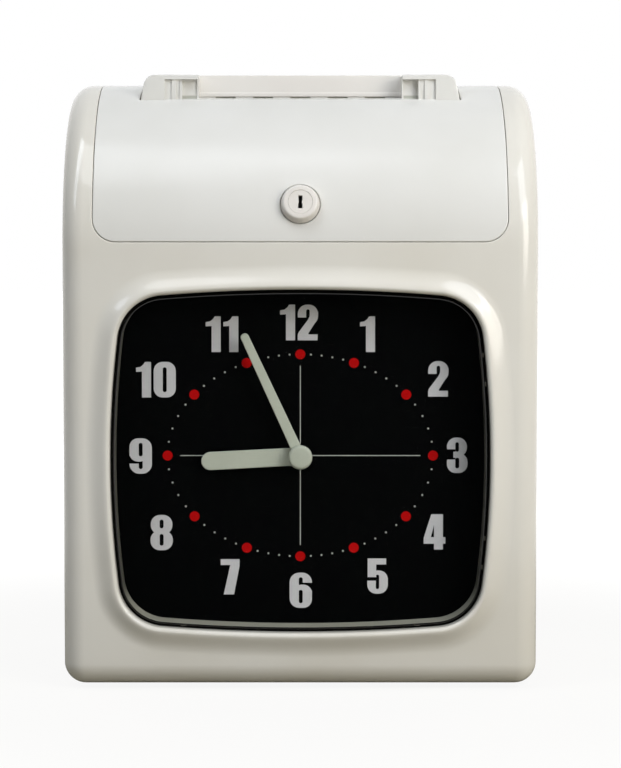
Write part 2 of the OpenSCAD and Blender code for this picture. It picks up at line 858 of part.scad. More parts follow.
module movement_housing() {
    front_y = dial_back_y + plate_t;
    inner_y = housing_back_y - housing_t;
    color(black_plastic) difference() {
        union() {
            difference() {
                from_front(front_y, housing_d) movement_outline();
                box([housing_t - housing_x, front_y - 1, axis_z - housing_down + housing_t],
                    [housing_x - housing_t, inner_y, axis_z + housing_up - housing_t]);
            }
            at_movement_posts(front_y) cylinder(h = housing_d, r = post_r);
        }
        at_movement_posts(front_y - 1) cylinder(h = housing_d + 2, r = small_shank + 2 * fit_gap);
        bar_y(inner_y - 1, housing_t + 2, arbor_r + fit_gap, [0, axis_z]);
        bar_y(inner_y - 1, housing_t + 2, pivot_r + fit_gap, [0, axis_z - work_c]);
    }
}

module movement_screws() {
    color(steel) at_movement_posts(housing_back_y)
        screw(2 * small_shank, 1.5, small_shank, housing_d + plate_t - 0.6);
}

module movement_motor() {
    back = housing_back_y - housing_t;
    color(steel) difference() {
        bar_y(back - motion_motor_d, motion_motor_d, 8, [work_c, axis_z - work_c]);
        bar_y(back - motion_motor_d - 1, 6, pivot_r + fit_gap, [work_c, axis_z - work_c]);
    }
}

module centre_nut() {
    color(dark) difference() {
        bar_y(dial_y - nut_t, nut_t, nut_r, [0, axis_z]);
        bar_y(dial_y - nut_t - 1, nut_t + 2, neck_r + fit_gap, [0, axis_z]);
    }
}

module minute_arbor() {
    front_y = minute_hand_y - 1.5;
    color(brass) {
        bar_y(front_y, housing_back_y - front_y, arbor_r, [0, axis_z]);
        from_front(cannon_y, cannon_t) translate([0, axis_z]) gear_outline(cannon_n, wheel_m, -90);
    }
}

module hour_wheel() {
    front_y = hour_hand_y;
    color(brass) difference() {
        union() {
            from_front(hour_gear_y, hour_gear_t) translate([0, axis_z])
                gear_outline(hour_n, hour_m, -90 + 180 / hour_n);
            bar_y(front_y, hour_gear_y - front_y + 0.5, pipe_r, [0, axis_z]);
        }
        bar_y(front_y - 1, hour_gear_y + hour_gear_t - front_y + 2, pipe_bore, [0, axis_z]);
    }
}

module minute_wheel() {
    at = [0, axis_z - work_c];
    front_y = dial_back_y + 0.7;
    color(brass) {
        bar_y(front_y, housing_back_y - front_y, pivot_r, at);
        from_front(wheel_y, wheel_t) translate(at) gear_outline(minute_n, wheel_m, 90 + 180 / minute_n);
        from_front(hour_gear_y - 0.2, wheel_y - hour_gear_y + 0.7) translate(at)
            gear_outline(pinion_n, hour_m, 90);
    }
}

module drive_pinion() {
    at = [work_c, axis_z - work_c];
    motor_y = housing_back_y - housing_t - motion_motor_d;
    color(brass) {
        bar_y(cannon_y, motor_y + 4 - cannon_y, pivot_r, at);
        from_front(cannon_y, cannon_t) translate(at) gear_outline(cannon_n, wheel_m, 180);
    }
}

module hour_hand() {
    color(hand_grey) from_front(hour_hand_y, hand_t) translate([0, axis_z]) difference() {
        round_bar(hour_l, hour_w, hour_angle);
        circle(pipe_r + fit_gap);
    }
}

module minute_hand() {
    tip = 0.78 * minute_w;
    color(hand_grey) from_front(minute_hand_y, hand_t) translate([0, axis_z]) difference() {
        rotate(minute_angle) {
            polygon([[0, -minute_w / 2], [minute_l - tip / 2, -tip / 2], [minute_l - tip / 2, tip / 2],
                [0, minute_w / 2]]);
            translate([minute_l - tip / 2, 0]) circle(tip / 2);
            circle(cap_r - 0.8);
        }
        circle(arbor_r + fit_gap);
    }
}

module hand_cap() {
    color(hand_grey) difference() {
        translate([0, minute_hand_y, axis_z]) rotate([90, 0, 0]) rotate_extrude()
            polygon([[0, 0], [cap_r, 0], [cap_r, cap_t - 1], [cap_r - 1, cap_t], [0, cap_t]]);
        bar_y(minute_hand_y - 1.7, 2, arbor_r + fit_gap, [0, axis_z]);
    }
}

// Printer frame: a back panel with two ears a side and two side plates bent forward
module chassis() {
    color(zinc) difference() {
        union() {
            from_front(panel_y, sheet_t) {
                translate([-plate_x, panel_low_z]) square([printer_w, panel_high_z - panel_low_z]);
                for (z = ear_zs) {
                    translate([-ear_x, z - ear_r]) square([2 * ear_x, 2 * ear_r]);
                    for (x = [-ear_x, ear_x]) translate([x, z]) circle(ear_r);
                }
            }
            mirrored() from_side(plate_in, sheet_t) side_plate();
        }
        at_ears(panel_y - 1) cylinder(h = sheet_t + 2, r = screw_shank + 2 * fit_gap);
        for (hole = [[rod_at, rod_r], [screw_at, journal_r], [feed_at, journal_r], [pinch_at, pinch_shaft_r]])
            bar_x(-plate_x - 1, printer_w + 2, hole[1] + fit_gap, hole[0]);
        bar_x(0, plate_x + 1, motor_shaft_r + run_gap, head_motor_at);
        bar_x(-plate_x - 1, plate_x, motor_shaft_r + run_gap, feed_motor_at);
        bar_x(-plate_x - 1, printer_w + 2, cartridge_peg_r + run_gap, peg_at());
    }
}

function peg_at() = [cartridge_front_y + 6.5, cartridge_z + cartridge_h / 2];

// Side plate in the side view, kept under the lid
module side_plate() {
    intersection() {
        translate([frame_front_y, frame_low_z])
            square([panel_y + sheet_t - frame_front_y, frame_z - frame_low_z]);
        union() {
            translate([arc_y, arc_z]) circle(under_lid_r);
            translate([frame_front_y, frame_low_z])
                square([panel_y + sheet_t - frame_front_y, arc_z - frame_low_z]);
        }
    }
}

module chassis_screws() {
    color(steel) at_ears(panel_y) rotate([180, 0, 0]) screw(head_r, head_t, screw_shank, sheet_t + 12);
}

// Windows that both chutes have for the rollers
module roller_windows() {
    for (x = [-roller_x, roller_x])
        translate([x - roller_open, feed_at[1] - 9]) square([2 * roller_open, 18]);
}

module chute_front() {
    color(zinc) from_front(chute_front_y, sheet_t) difference() {
        translate([-chute_half, chute_low_z]) square([2 * chute_half, frame_z - chute_low_z]);
        translate([2 - arm_x, head_z - 6.5]) square([2 * arm_x - 4, 13]);
        roller_windows();
    }
}

module chute_rear() {
    color(zinc) {
        from_front(chute_rear_y, sheet_t) difference() {
            translate([-chute_half, chute_low_z]) square([2 * chute_half, frame_z - chute_low_z]);
            translate([-platen_half - run_gap, head_z - platen_h / 2 - run_gap])
                square([2 * (platen_half + run_gap), platen_h + 2 * run_gap]);
            translate([-4, chute_low_z + 13]) square(8);
            roller_windows();
        }
        box([-chute_half, chute_rear_y - chute_gap, chute_low_z], [chute_half, chute_rear_y + 0.5,
            chute_low_z + sheet_t]);
    }
}

module platen() {
    flange_y = chute_rear_y + sheet_t;
    color(rubber_black) {
        box([-platen_half, chute_rear_y, head_z - platen_h / 2],
            [platen_half, flange_y + 0.5, head_z + platen_h / 2]);
        box([-platen_half - 3, flange_y, head_z - platen_h / 2 - 3],
            [platen_half + 3, flange_y + 1.1, head_z + platen_h / 2 + 3]);
    }
}

module card_sensor() {
    color(black_plastic) box([-8, chute_rear_y + sheet_t, chute_low_z + 11],
        [8, chute_rear_y + sheet_t + 6, chute_low_z + 23]);
}

module carriage_rod() {
    color(steel) bar_x(-plate_x - rod_end, printer_w + 2 * rod_end, rod_r, rod_at);
}

module print_carriage() {
    color(black_plastic) difference() {
        box([-carriage_half, carriage_front_y, carriage_low_z],
            [carriage_half, carriage_back_y, carriage_top_z]);
        bar_x(-carriage_half - 1, 2 * carriage_half + 2, rod_r + 2 * fit_gap, rod_at);
        bar_x(-carriage_half - 1, 2 * carriage_half + 2, screw_r + 2 * fit_gap, screw_at);
    }
}

module print_head() {
    body_back_y = carriage_back_y - 6.5;
    nose_y = tape_y - tape_t;
    color(steel) {
        difference() {
            box([-9, carriage_front_y - 0.5, carriage_top_z], [9, body_back_y, head_z + 8.5]);
            for (i = [0 : 3])
                box([-10, carriage_front_y - 1, carriage_top_z + 4 + 4 * i],
                    [10, carriage_front_y + 3, carriage_top_z + 5.5 + 4 * i]);
        }
        bar_y(body_back_y - 0.5, nose_y - body_back_y + 0.5, 5, [0, head_z]);
    }
}

module lead_screw() {
    shoulder = plate_in - 0.8;
    color(steel) {
        bar_x(-shoulder, 2 * shoulder, screw_r, screw_at);
        bar_x(-plate_x - 1, 2 * plate_x + 2 + gear_w, journal_r, screw_at);
    }
}

module screw_gear() {
    color(white_plastic) from_side(gear_x, gear_w) translate(screw_at) difference() {
        gear_outline(gear_big_n, drive_m, -90);
        circle(journal_r + fit_gap);
    }
}

module head_pinion() {
    color(brass) {
        from_side(gear_x, gear_w) translate(head_motor_at)
            gear_outline(gear_small_n, drive_m, 90 + 180 / gear_small_n);
        bar_x(plate_in - 8, gear_x + 8.5 - plate_in, motor_shaft_r, head_motor_at);
    }
}

module head_motor() {
    color(steel) difference() {
        bar_x(plate_in - head_motor_l, head_motor_l, head_motor_r, head_motor_at);
        bar_x(plate_in - 10, 12, motor_shaft_r + fit_gap, head_motor_at);
    }
}

module feed_shaft() {
    shoulder = plate_in - 0.8;
    color(steel) {
        bar_x(-shoulder, 2 * shoulder, rod_r, feed_at);
        bar_x(-plate_x - 1 - gear_w, 2 * plate_x + 2 + gear_w, journal_r, feed_at);
    }
}

module feed_rollers() {
    color(rubber_black) for (x = [-roller_x, roller_x]) difference() {
        bar_x(x - roller_w / 2, roller_w, feed_r, feed_at);
        bar_x(x - roller_w, 2 * roller_w, rod_r + fit_gap, feed_at);
    }
}

module feed_gear() {
    color(white_plastic) from_side(-gear_x - gear_w, gear_w) translate(feed_at) difference() {
        gear_outline(gear_big_n, drive_m, feed_angle);
        circle(journal_r + fit_gap);
    }
}

module feed_pinion() {
    color(brass) {
        from_side(-gear_x - gear_w, gear_w) translate(feed_motor_at)
            gear_outline(gear_small_n, drive_m, feed_angle + 180 + 180 / gear_small_n);
        bar_x(-gear_x - 0.5, gear_x + 8.5 - plate_in, motor_shaft_r, feed_motor_at);
    }
}

module feed_motor() {
    color(steel) difference() {
        bar_x(-plate_in, feed_motor_l, feed_motor_r, feed_motor_at);
        bar_x(-plate_in - 2, 12, motor_shaft_r + fit_gap, feed_motor_at);
    }
}

// Two pinch rollers moulded on their shaft
module pinch_rollers() {
    color(rubber_black) {
        bar_x(-plate_x - 1, printer_w + 2, pinch_shaft_r, pinch_at);
        for (x = [-roller_x, roller_x]) bar_x(x - roller_w / 2, roller_w, pinch_r, pinch_at);
    }
}

module ribbon_cartridge() {
    half = plate_in - run_gap;
    color(black_plastic) difference() {
        union() {
            box([-half, cartridge_front_y, cartridge_z], [half, cartridge_back_y, cartridge_z + cartridge_h]);
            mirrored() bar_x(half - 1, 1 + run_gap + sheet_t, cartridge_peg_r, peg_at());
            for (x = [-arm_x, arm_x])
                box([x - arm_w / 2, cartridge_back_y - 1, head_z - 5.5],
                    [x + arm_w / 2, tape_y - tape_t / 2, cartridge_z + 5]);
        }
        translate([knob_at[0], knob_at[1], cartridge_z + cartridge_h - 7]) cylinder(h = 8, r = 1.5 + fit_gap);
    }
}

module ribbon_tape() {
    color("#20203a") box([-arm_x - 2, tape_y - tape_t / 2, head_z - tape_h / 2],
        [arm_x + 2, tape_y + tape_t / 2, head_z + tape_h / 2]);
}

module ribbon_knob() {
    color(white_plastic) translate([knob_at[0], knob_at[1], cartridge_z + cartridge_h]) {
        translate([0, 0, run_gap]) cylinder(h = knob_h - 1.5, r = knob_r);
        translate([-1, -knob_r + 0.5, run_gap]) cube([2, 2 * knob_r - 1, knob_h - run_gap]);
        translate([0, 0, -6.5]) cylinder(h = 7.5, r = 1.5);
    }
}

// Key panel: a plate on a flange of the right side plate, with posts for its board
module key_panel() {
    left = plate_x;
    right = plate_x + key_panel_w;
    high_z = key_low_z + key_panel_h;
    color(ivory) difference() {
        union() {
            box([left, key_front_y, key_low_z], [right, key_front_y + sheet_t, high_z]);
            box([left, key_front_y, key_low_z], [left + sheet_t, key_front_y + 12, high_z]);
            for (x = [left + 4, right - 2.5], z = [key_low_z + 2.5, high_z - 2.5])
                bar_y(key_front_y + 0.5, key_board_y - key_front_y - 0.5, 1.8, [x, z]);
        }
        for (i = [-1 : 1]) bar_y(key_front_y - 1, sheet_t + 2, key_r + run_gap, [key_x, key_z + i * key_step]);
    }
}

module key_board() {
    color(board_green) {
        box([plate_x + sheet_t + 0.4, key_board_y, key_low_z + 0.5],
            [plate_x + key_panel_w - 0.5, key_board_y + board_t, key_low_z + key_panel_h - 0.5]);
        for (i = [-1 : 1]) translate([key_x, 0, key_z + i * key_step])
            box([-3, key_board_y - switch_h, -3], [3, key_board_y + 0.5, 3]);
    }
}

module set_button(i) {
    at = [key_x, key_z + i * key_step];
    flange_y = key_front_y + sheet_t + run_gap;
    stem_y = key_board_y - switch_h - key_travel - 0.1;
    color(white_plastic) {
        bar_y(key_front_y - key_cap_l, flange_y + 0.5 - key_front_y + key_cap_l, key_r, at);
        bar_y(flange_y, key_flange_t, key_r + 1, at);
        bar_y(flange_y, stem_y - flange_y, 1.4, at);
    }
}

module set_button_1() {
    set_button(1);
}

module set_button_2() {
    set_button(0);
}

module set_button_3() {
    set_button(-1);
}

// Electrics
module main_board() {
    color(board_green) difference() {
        box([-board_w / 2, board_y, board_low_z], [board_w / 2, board_y + board_t, board_low_z + board_h]);
        at_board(board_y - 1) cylinder(h = board_t + 2, r = small_shank + 2 * fit_gap);
    }
}

module board_screws() {
    color(steel) at_board(board_y) rotate([180, 0, 0]) screw(2.6, 1.6, small_shank, board_t + 8);
}

module board_chips() {
    high_z = board_low_z + board_h;
    color(black_plastic) {
        box([-15, board_y - 2.5, high_z - 55], [15, board_y, high_z - 35]);
        box([-45, board_y - 2, high_z - 60], [-27, board_y, high_z - 50]);
        box([27, board_y - 2, high_z - 60], [45, board_y, high_z - 50]);
        box([-40, board_y - 6, board_low_z + 4], [-10, board_y, board_low_z + 12]);
        for (x = [-50, -36]) bar_y(board_y - 14, 14, 5, [x, board_low_z + 30]);
    }
}

module buzzer() {
    at = [45, board_low_z + 24];
    color(black_plastic) difference() {
        bar_y(board_y - 9, 9, 9, at);
        bar_y(board_y - 10, 3, 1.2, at);
    }
}

module transformer() {
    left = side_clear - half_w;
    right = left + core_w;
    color(steel) box([left, tray_y, floor_z], [right, tray_y + core_t, floor_z + core_h]);
    color(brass) box([left + core_leg, tray_y - coil_out, floor_z + core_yoke],
        [right - core_leg, tray_y + core_t + coil_out, floor_z + core_h - core_yoke]);
}

module battery_pack() {
    y = inner_back_y - cell_clear - 3 * cell_r;
    right = half_w - cell_side_clear;
    left = right - cell_l;
    color("#3d5a8c") {
        for (i = [0, 1]) bar_x(left, cell_l, cell_r, [y + i * 2 * cell_r, floor_z + cell_r]);
        box([left, y, floor_z], [right, y + 2 * cell_r, floor_z + cell_r]);
    }
}

front_case();
rear_case();
rubber_feet();
case_screws();
window_lens();
dial();
card_throat();
chassis();
chassis_screws();
chute_front();
chute_rear();
platen();
carriage_rod();
head_motor();
feed_motor();
ribbon_cartridge();
ribbon_tape();
card_sensor();
main_board();
board_chips();
board_screws();
transformer();
battery_pack();
buzzer();
movement_plate();
movement_housing();
movement_motor();
movement_screws();
centre_nut();
key_panel();
key_board();
cord_gland();
top_lid();
hinge_pins();
lock_collar();
lock_nut();
lock_plug();
lock_cam();
cam_screw();
minute_arbor();
minute_hand();
hand_cap();
hour_wheel();
hour_hand();
minute_wheel();
drive_pinion();
print_carriage();
print_head();
lead_screw();
screw_gear();
head_pinion();
feed_shaft();
feed_rollers();
feed_gear();
feed_pinion();
pinch_rollers();
ribbon_knob();
set_button_1();
set_button_2();
set_button_3();
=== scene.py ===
import json
from math import acos, asin, atan2, copysign, cos, hypot, pi, radians, sin, sqrt
import bmesh
import bpy
import numpy as np
from mathutils import Matrix, Vector
from mathutils.geometry import delaunay_2d_cdt


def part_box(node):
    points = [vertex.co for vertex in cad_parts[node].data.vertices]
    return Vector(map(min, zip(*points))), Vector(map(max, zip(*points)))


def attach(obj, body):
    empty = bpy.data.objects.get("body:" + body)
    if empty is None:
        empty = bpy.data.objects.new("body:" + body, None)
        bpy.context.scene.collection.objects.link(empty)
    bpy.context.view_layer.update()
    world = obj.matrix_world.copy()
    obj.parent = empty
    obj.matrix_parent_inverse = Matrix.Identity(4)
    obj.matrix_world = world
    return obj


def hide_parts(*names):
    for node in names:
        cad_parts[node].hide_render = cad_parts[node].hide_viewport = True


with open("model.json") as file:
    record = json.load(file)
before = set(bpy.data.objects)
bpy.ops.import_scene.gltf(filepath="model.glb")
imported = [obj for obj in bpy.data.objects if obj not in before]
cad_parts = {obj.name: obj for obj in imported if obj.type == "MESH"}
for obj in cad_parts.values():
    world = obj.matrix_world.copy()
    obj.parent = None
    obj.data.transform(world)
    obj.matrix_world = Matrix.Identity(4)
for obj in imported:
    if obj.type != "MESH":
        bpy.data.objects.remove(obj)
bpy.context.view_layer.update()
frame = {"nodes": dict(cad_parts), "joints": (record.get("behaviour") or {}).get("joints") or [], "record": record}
mm = 0.001

view = dict(y=-1073.0, z=193.6, pitch=3.73, lens=115.3, sensor=36, shiftX=0.0133,  # mm and degrees
            near=0.05, far=20)  # metres; the image is 621 x 768


def added(name, data):
    item = bpy.data.objects.new(name, data)
    bpy.context.scene.collection.objects.link(item)
    return item


def makeCamera():
    data = bpy.data.cameras.new("photoCamera")
    data.lens, data.sensor_width = view["lens"], view["sensor"]
    data.shift_x = view["shiftX"]
    data.clip_start, data.clip_end = view["near"], view["far"]
    camera = added("photoCamera", data)
    camera.location = (0, view["y"] * mm, view["z"] * mm)
    camera.rotation_euler = (radians(90 - view["pitch"]), 0, 0)
    bpy.context.scene.camera = camera


makeCamera()
print("camera placed")


def tone(r, g, b):  # 0-255 as seen, to the linear colour of a shader
    linear = [c / 12.92 / 255 if c < 11 else ((c / 255 + 0.055) / 1.055) ** 2.4 for c in (r, g, b)]
    return (*linear, 1.0)


class Wire:  # one socket, with sums that add Math nodes
    def __init__(self, paint, socket):
        self.paint, self.socket = paint, socket

    def maths(self, operation, *values):
        return self.paint.add("ShaderNodeMath", dict(operation=operation), dict(enumerate(values)))

    def __add__(self, other):
        return self.maths("ADD", self, other)

    def __sub__(self, other):
        return self.maths("SUBTRACT", self, other)

    def __rsub__(self, other):
        return self.maths("SUBTRACT", other, self)

    def __mul__(self, other):
        return self.maths("MULTIPLY", self, other)

    __radd__, __rmul__ = __add__, __mul__

    def stretch(self, low, high):  # smooth step from 0 at low to 1 at high
        sockets = {"Value": self, "From Min": low, "From Max": high}
        return self.paint.add("ShaderNodeMapRange", dict(interpolation_type="SMOOTHSTEP"), sockets)


class Paint:  # one material and its nodes
    def __init__(self, name, look, owner=None):
        self.material = owner or bpy.data.materials.new(name)
        self.material.use_nodes = True
        self.tree = self.material.node_tree
        self.tree.nodes.clear()
        if owner is None:
            self.material.diffuse_color = look
        self.end = self.tree.nodes.new("ShaderNodeOutputWorld" if owner else "ShaderNodeOutputMaterial")
        self.place = self.add("ShaderNodeTexCoord", out="Generated" if owner else "Object")

    def add(self, kind, settings=None, sockets=None, out=0):
        node = self.tree.nodes.new(kind)
        for key, value in (settings or {}).items():
            setattr(node, key, value)
        for key, value in (sockets or {}).items():
            if isinstance(value, Wire):
                self.tree.links.new(value.socket, node.inputs[key])
            else:
                node.inputs[key].default_value = value
        return Wire(self, node.outputs[out])

    def noise(self, scale, detail, rough=0.5, place=None):
        sockets = {"Vector": place or self.place, "Scale": scale, "Detail": detail, "Roughness": rough}
        return self.add("ShaderNodeTexNoise", {}, sockets, "Fac")

    def squeeze(self, x, y, z):  # coordinates scaled along each axis
        return self.add("ShaderNodeVectorMath", dict(operation="MULTIPLY"), {0: self.place, 1: (x, y, z)})

    def blend(self, factor, first, second):
        return self.add("ShaderNodeMix", dict(data_type="RGBA"), {0: factor, 6: first, 7: second}, 2)

    def bump(self, height, strength, distance):
        return self.add("ShaderNodeBump", {}, {"Strength": strength, "Distance": distance, "Height": height})

    def cover(self, **sockets):  # a Principled surface, spaces in the names written as _
        return self.add("ShaderNodeBsdfPrincipled", {}, {k.replace("_", " "): v for k, v in sockets.items()})

    def done(self, shader):
        self.tree.links.new(shader.socket, self.end.inputs["Surface"])
        return self.material


plasticLook = dict(cloud=14.0, grain=1500.0, scuff=60.0, aged=(0.35, 0.75), rough=0.06, soft=0.20, wear=0.10,
                   tooth=0.06, gloss=0.46, bump=0.10, depth=0.00012)


def ivoryPlastic(name, light, aged, rough):  # moulded plastic, yellowed in clouds, finely grained and scuffed
    look = plasticLook
    p = Paint(name, tone(*light))
    cloud = p.noise(look["cloud"], 3)
    grain = p.noise(look["grain"], 2, 0.6)
    scuff = p.noise(look["scuff"], 6, 0.7, p.squeeze(1, 1, 3))
    colour = p.blend(cloud.stretch(*look["aged"]), tone(*light), tone(*aged))
    rough = rough + look["wear"] * (scuff - 0.5) + look["tooth"] * grain
    return p.done(p.cover(Base_Color=colour, Roughness=rough, Specular_IOR_Level=look["gloss"],
                          Normal=p.bump(grain, look["bump"], look["depth"])))


speckLook = dict(cloud=0.08, share=0.6, range=(0.3, 0.72), depth=0.00008)


def speckled(name, light, dark, scale, rough, spread=0.12, bump=0.06, level=0.5):
    look = speckLook  # plain moulded or painted finish with fine variation
    p = Paint(name, tone(*light))
    cloud = p.noise(scale * look["cloud"], 3)
    grain = p.noise(scale, 3, 0.6)
    mottle = cloud * look["share"] + grain * (1 - look["share"])
    colour = p.blend(mottle.stretch(*look["range"]), tone(*light), tone(*dark))
    rough = rough + spread * (grain - 0.5)
    return p.done(p.cover(Base_Color=colour, Specular_IOR_Level=level, Roughness=rough,
                          Normal=p.bump(grain, bump, look["depth"])))


brushLook = dict(fine=2600.0, along=60.0, cloud=45.0, share=0.7, range=(0.3, 0.7), spread=0.16, bump=0.08,
                 depth=0.00005)


def brushed(name, light, dark, along, rough):  # drawn or turned metal, streaked along one axis
    look = brushLook
    p = Paint(name, tone(*light))
    fine = [look["fine"]] * 3
    fine[along] = look["along"]
    streak = p.noise(1.0, 4, 0.65, p.squeeze(*fine))
    cloud = p.noise(look["cloud"], 3)
    mottle = streak * look["share"] + cloud * (1 - look["share"])
    colour = p.blend(mottle.stretch(*look["range"]), tone(*light), tone(*dark))
    return p.done(p.cover(Base_Color=colour, Metallic=1.0, Roughness=rough + look["spread"] * (streak - 0.5),
                          Normal=p.bump(streak, look["bump"], look["depth"])))


sheetLook = dict(tint=(0.6, 0.65, 0.66, 0.3), haze=220.0, rough=0.05, smear=0.05, level=0.35, angle=0.12,
                 share=0.5, dustAndPaintedLight=0.012)


def clearSheet(name, body, edge):  # acrylic: light passes straight through, gloss by angle
    look = sheetLook
    p = Paint(name, look["tint"])
    haze = p.noise(look["haze"], 4, 0.7)
    gloss = p.cover(Base_Color=tone(*edge), Roughness=look["rough"] + look["smear"] * haze,
                    Specular_IOR_Level=look["level"])
    through = p.add("ShaderNodeBsdfTransparent", {}, {"Color": tone(*body)})
    angle = p.add("ShaderNodeLayerWeight", {}, {"Blend": look["angle"]}, "Fresnel")
    share = angle * look["share"] + look["dustAndPaintedLight"] * haze
    return p.done(p.add("ShaderNodeMixShader", {}, {0: share, 1: through, 2: gloss}))


wallLook = dict(grain=1300.0, ragged=0.08, range=(0.1, 0.8), rough=0.45, tooth=0.1, level=0.1, bump=0.05,
                depth=0.00008)


def dustyWall(name, light, dark):  # dull grey wall round the dial: painted light makes it paler where it faces up, painted shade makes its sides darker
    look = wallLook
    p = Paint(name, tone(*light))
    grain = p.noise(look["grain"], 3, 0.6)
    up = p.add("ShaderNodeSeparateXYZ", {}, {0: p.add("ShaderNodeNewGeometry", out="Normal")}, 2)
    # painted light mask: 1 where the face looks up, 0 on the sides, with a ragged grain at the change
    dustAndPaintedLight = (up + look["ragged"] * (grain - 0.5)).stretch(*look["range"])
    colour = p.blend(dustAndPaintedLight, tone(*dark), tone(*light))
    rough = look["rough"] + look["tooth"] * grain
    return p.done(p.cover(Base_Color=colour, Roughness=rough, Specular_IOR_Level=look["level"],
                          Normal=p.bump(grain, look["bump"], look["depth"])))


boardLook = dict(green=(44, 98, 64), light=(52, 110, 72), dark=(38, 92, 60), thread=(88, 128, 84),
                 stain=(36, 84, 54), weave=160.0, threadSize=0.035, cloud=60.0, range=(0.4, 0.7), share=0.6,
                 rough=0.36, smear=0.1, coat=0.3, bump=0.05, depth=0.0001)


def greenBoard(name):  # lacquered circuit board with its woven glass showing faintly
    look = boardLook
    p = Paint(name, tone(*look["green"]))
    sockets = {"Vector": p.place, "Scale": look["weave"], "Mortar Size": look["threadSize"]}
    sockets |= {key: tone(*look[shade]) for key, shade in (
        ("Color1", "light"), ("Color2", "dark"), ("Mortar", "thread"))}
    weave = p.add("ShaderNodeTexBrick", dict(offset=0.5), sockets, "Color")
    cloud = p.noise(look["cloud"], 3)
    colour = p.blend(cloud.stretch(*look["range"]) * look["share"], weave, tone(*look["stain"]))
    return p.done(p.cover(Base_Color=colour, Roughness=look["rough"] + look["smear"] * cloud,
                          Coat_Weight=look["coat"], Normal=p.bump(cloud, look["bump"], look["depth"])))


finish = dict(
    ivory_plastic=ivoryPlastic("ivoryPlastic", (220, 216, 206), (214, 209, 197), plasticLook["rough"]),
    clear_lens=clearSheet("clearLens", (250, 251, 250), (30, 32, 32)),
    dial_black=speckled("dialBlack", (3, 4, 4), (2, 2, 3), 900.0, 0.62, spread=0.10, level=0.02),
    hand_paint=speckled("handPaint", (214, 216, 201), (206, 208, 193), 1100.0, 0.48, spread=0.12, level=0.3),
    lock_metal=speckled("lockEnamel", (224, 219, 212), (216, 210, 201), 1600.0, 0.26, spread=0.1),
    sheet_steel=brushed("sheetSteel", (186, 189, 190), (150, 154, 157), 2, 0.38),
    bright_steel=brushed("brightSteel", (205, 207, 208), (165, 168, 170), 0, 0.24),
    motor_can=brushed("motorCan", (150, 153, 156), (108, 112, 116), 0, 0.42),
    gear_brass=brushed("gearBrass", (214, 178, 96), (168, 130, 60), 1, 0.30),
    black_plastic=speckled("blackPlastic", (38, 39, 41), (26, 27, 29), 1400.0, 0.46),
    white_plastic=speckled("whitePlastic", (226, 225, 219), (212, 209, 200), 1300.0, 0.42),
    black_rubber=speckled("blackRubber", (30, 30, 31), (20, 20, 21), 1700.0, 0.78, bump=0.2),
    board_green=greenBoard("boardGreen"),
    ink_ribbon=speckled("inkRibbon", (44, 36, 62), (26, 22, 40), 2400.0, 0.66, bump=0.15),
    blue_wrap=speckled("blueWrap", (52, 84, 138), (38, 64, 112), 800.0, 0.34),
)
trim = {made.name: made for made in (  # the lid and throat plastics are lighter and less yellow than the case's; the guide's lighter tone is partly painted light
    ivoryPlastic("lidPlastic", (220, 218, 212), (214, 212, 205), plasticLook["soft"]),
    # the throat's back panel and ledge: a lighter plastic, partly painted light for a panel the lamps light too
    # little
    ivoryPlastic("guidePlastic", (232, 228, 221), (226, 221, 214), plasticLook["soft"]),
    speckled("numberPaint", (234, 230, 234), (225, 221, 225), 1200.0, 0.55, bump=0.03, level=0.2),
    speckled("dotRed", (214, 14, 16), (198, 10, 12), 1500.0, 0.5, bump=0.03, level=0.05),
    speckled("dotWhite", (222, 222, 216), (206, 206, 200), 1500.0, 0.5, bump=0.03, level=0.2),
    # the well's wall: painted light on its up-facing faces, painted shade on its sides
    dustyWall("wellGrey", (182, 178, 164), (98, 95, 87)),
    speckled("lensEdge", (16, 16, 16), (10, 10, 10), 700.0, 0.12, spread=0.06, level=0.5),
    # black: painted shade inside the keyhole, and the liner's front band
    speckled("slotDark", (14, 12, 10), (8, 7, 6), 900.0, 0.7, level=0.03),
    speckled("slotShade", (184, 184, 174), (174, 174, 164), 900.0, 0.7, level=0.1),
)}
print("finishes made:", len(finish) + len(trim))

for part in frame["record"]["subparts"]:  # the CAD solids that stay in view
    for slot in frame["nodes"][part["node"]].material_slots:
        slot.material = finish[part["material_slot"]]


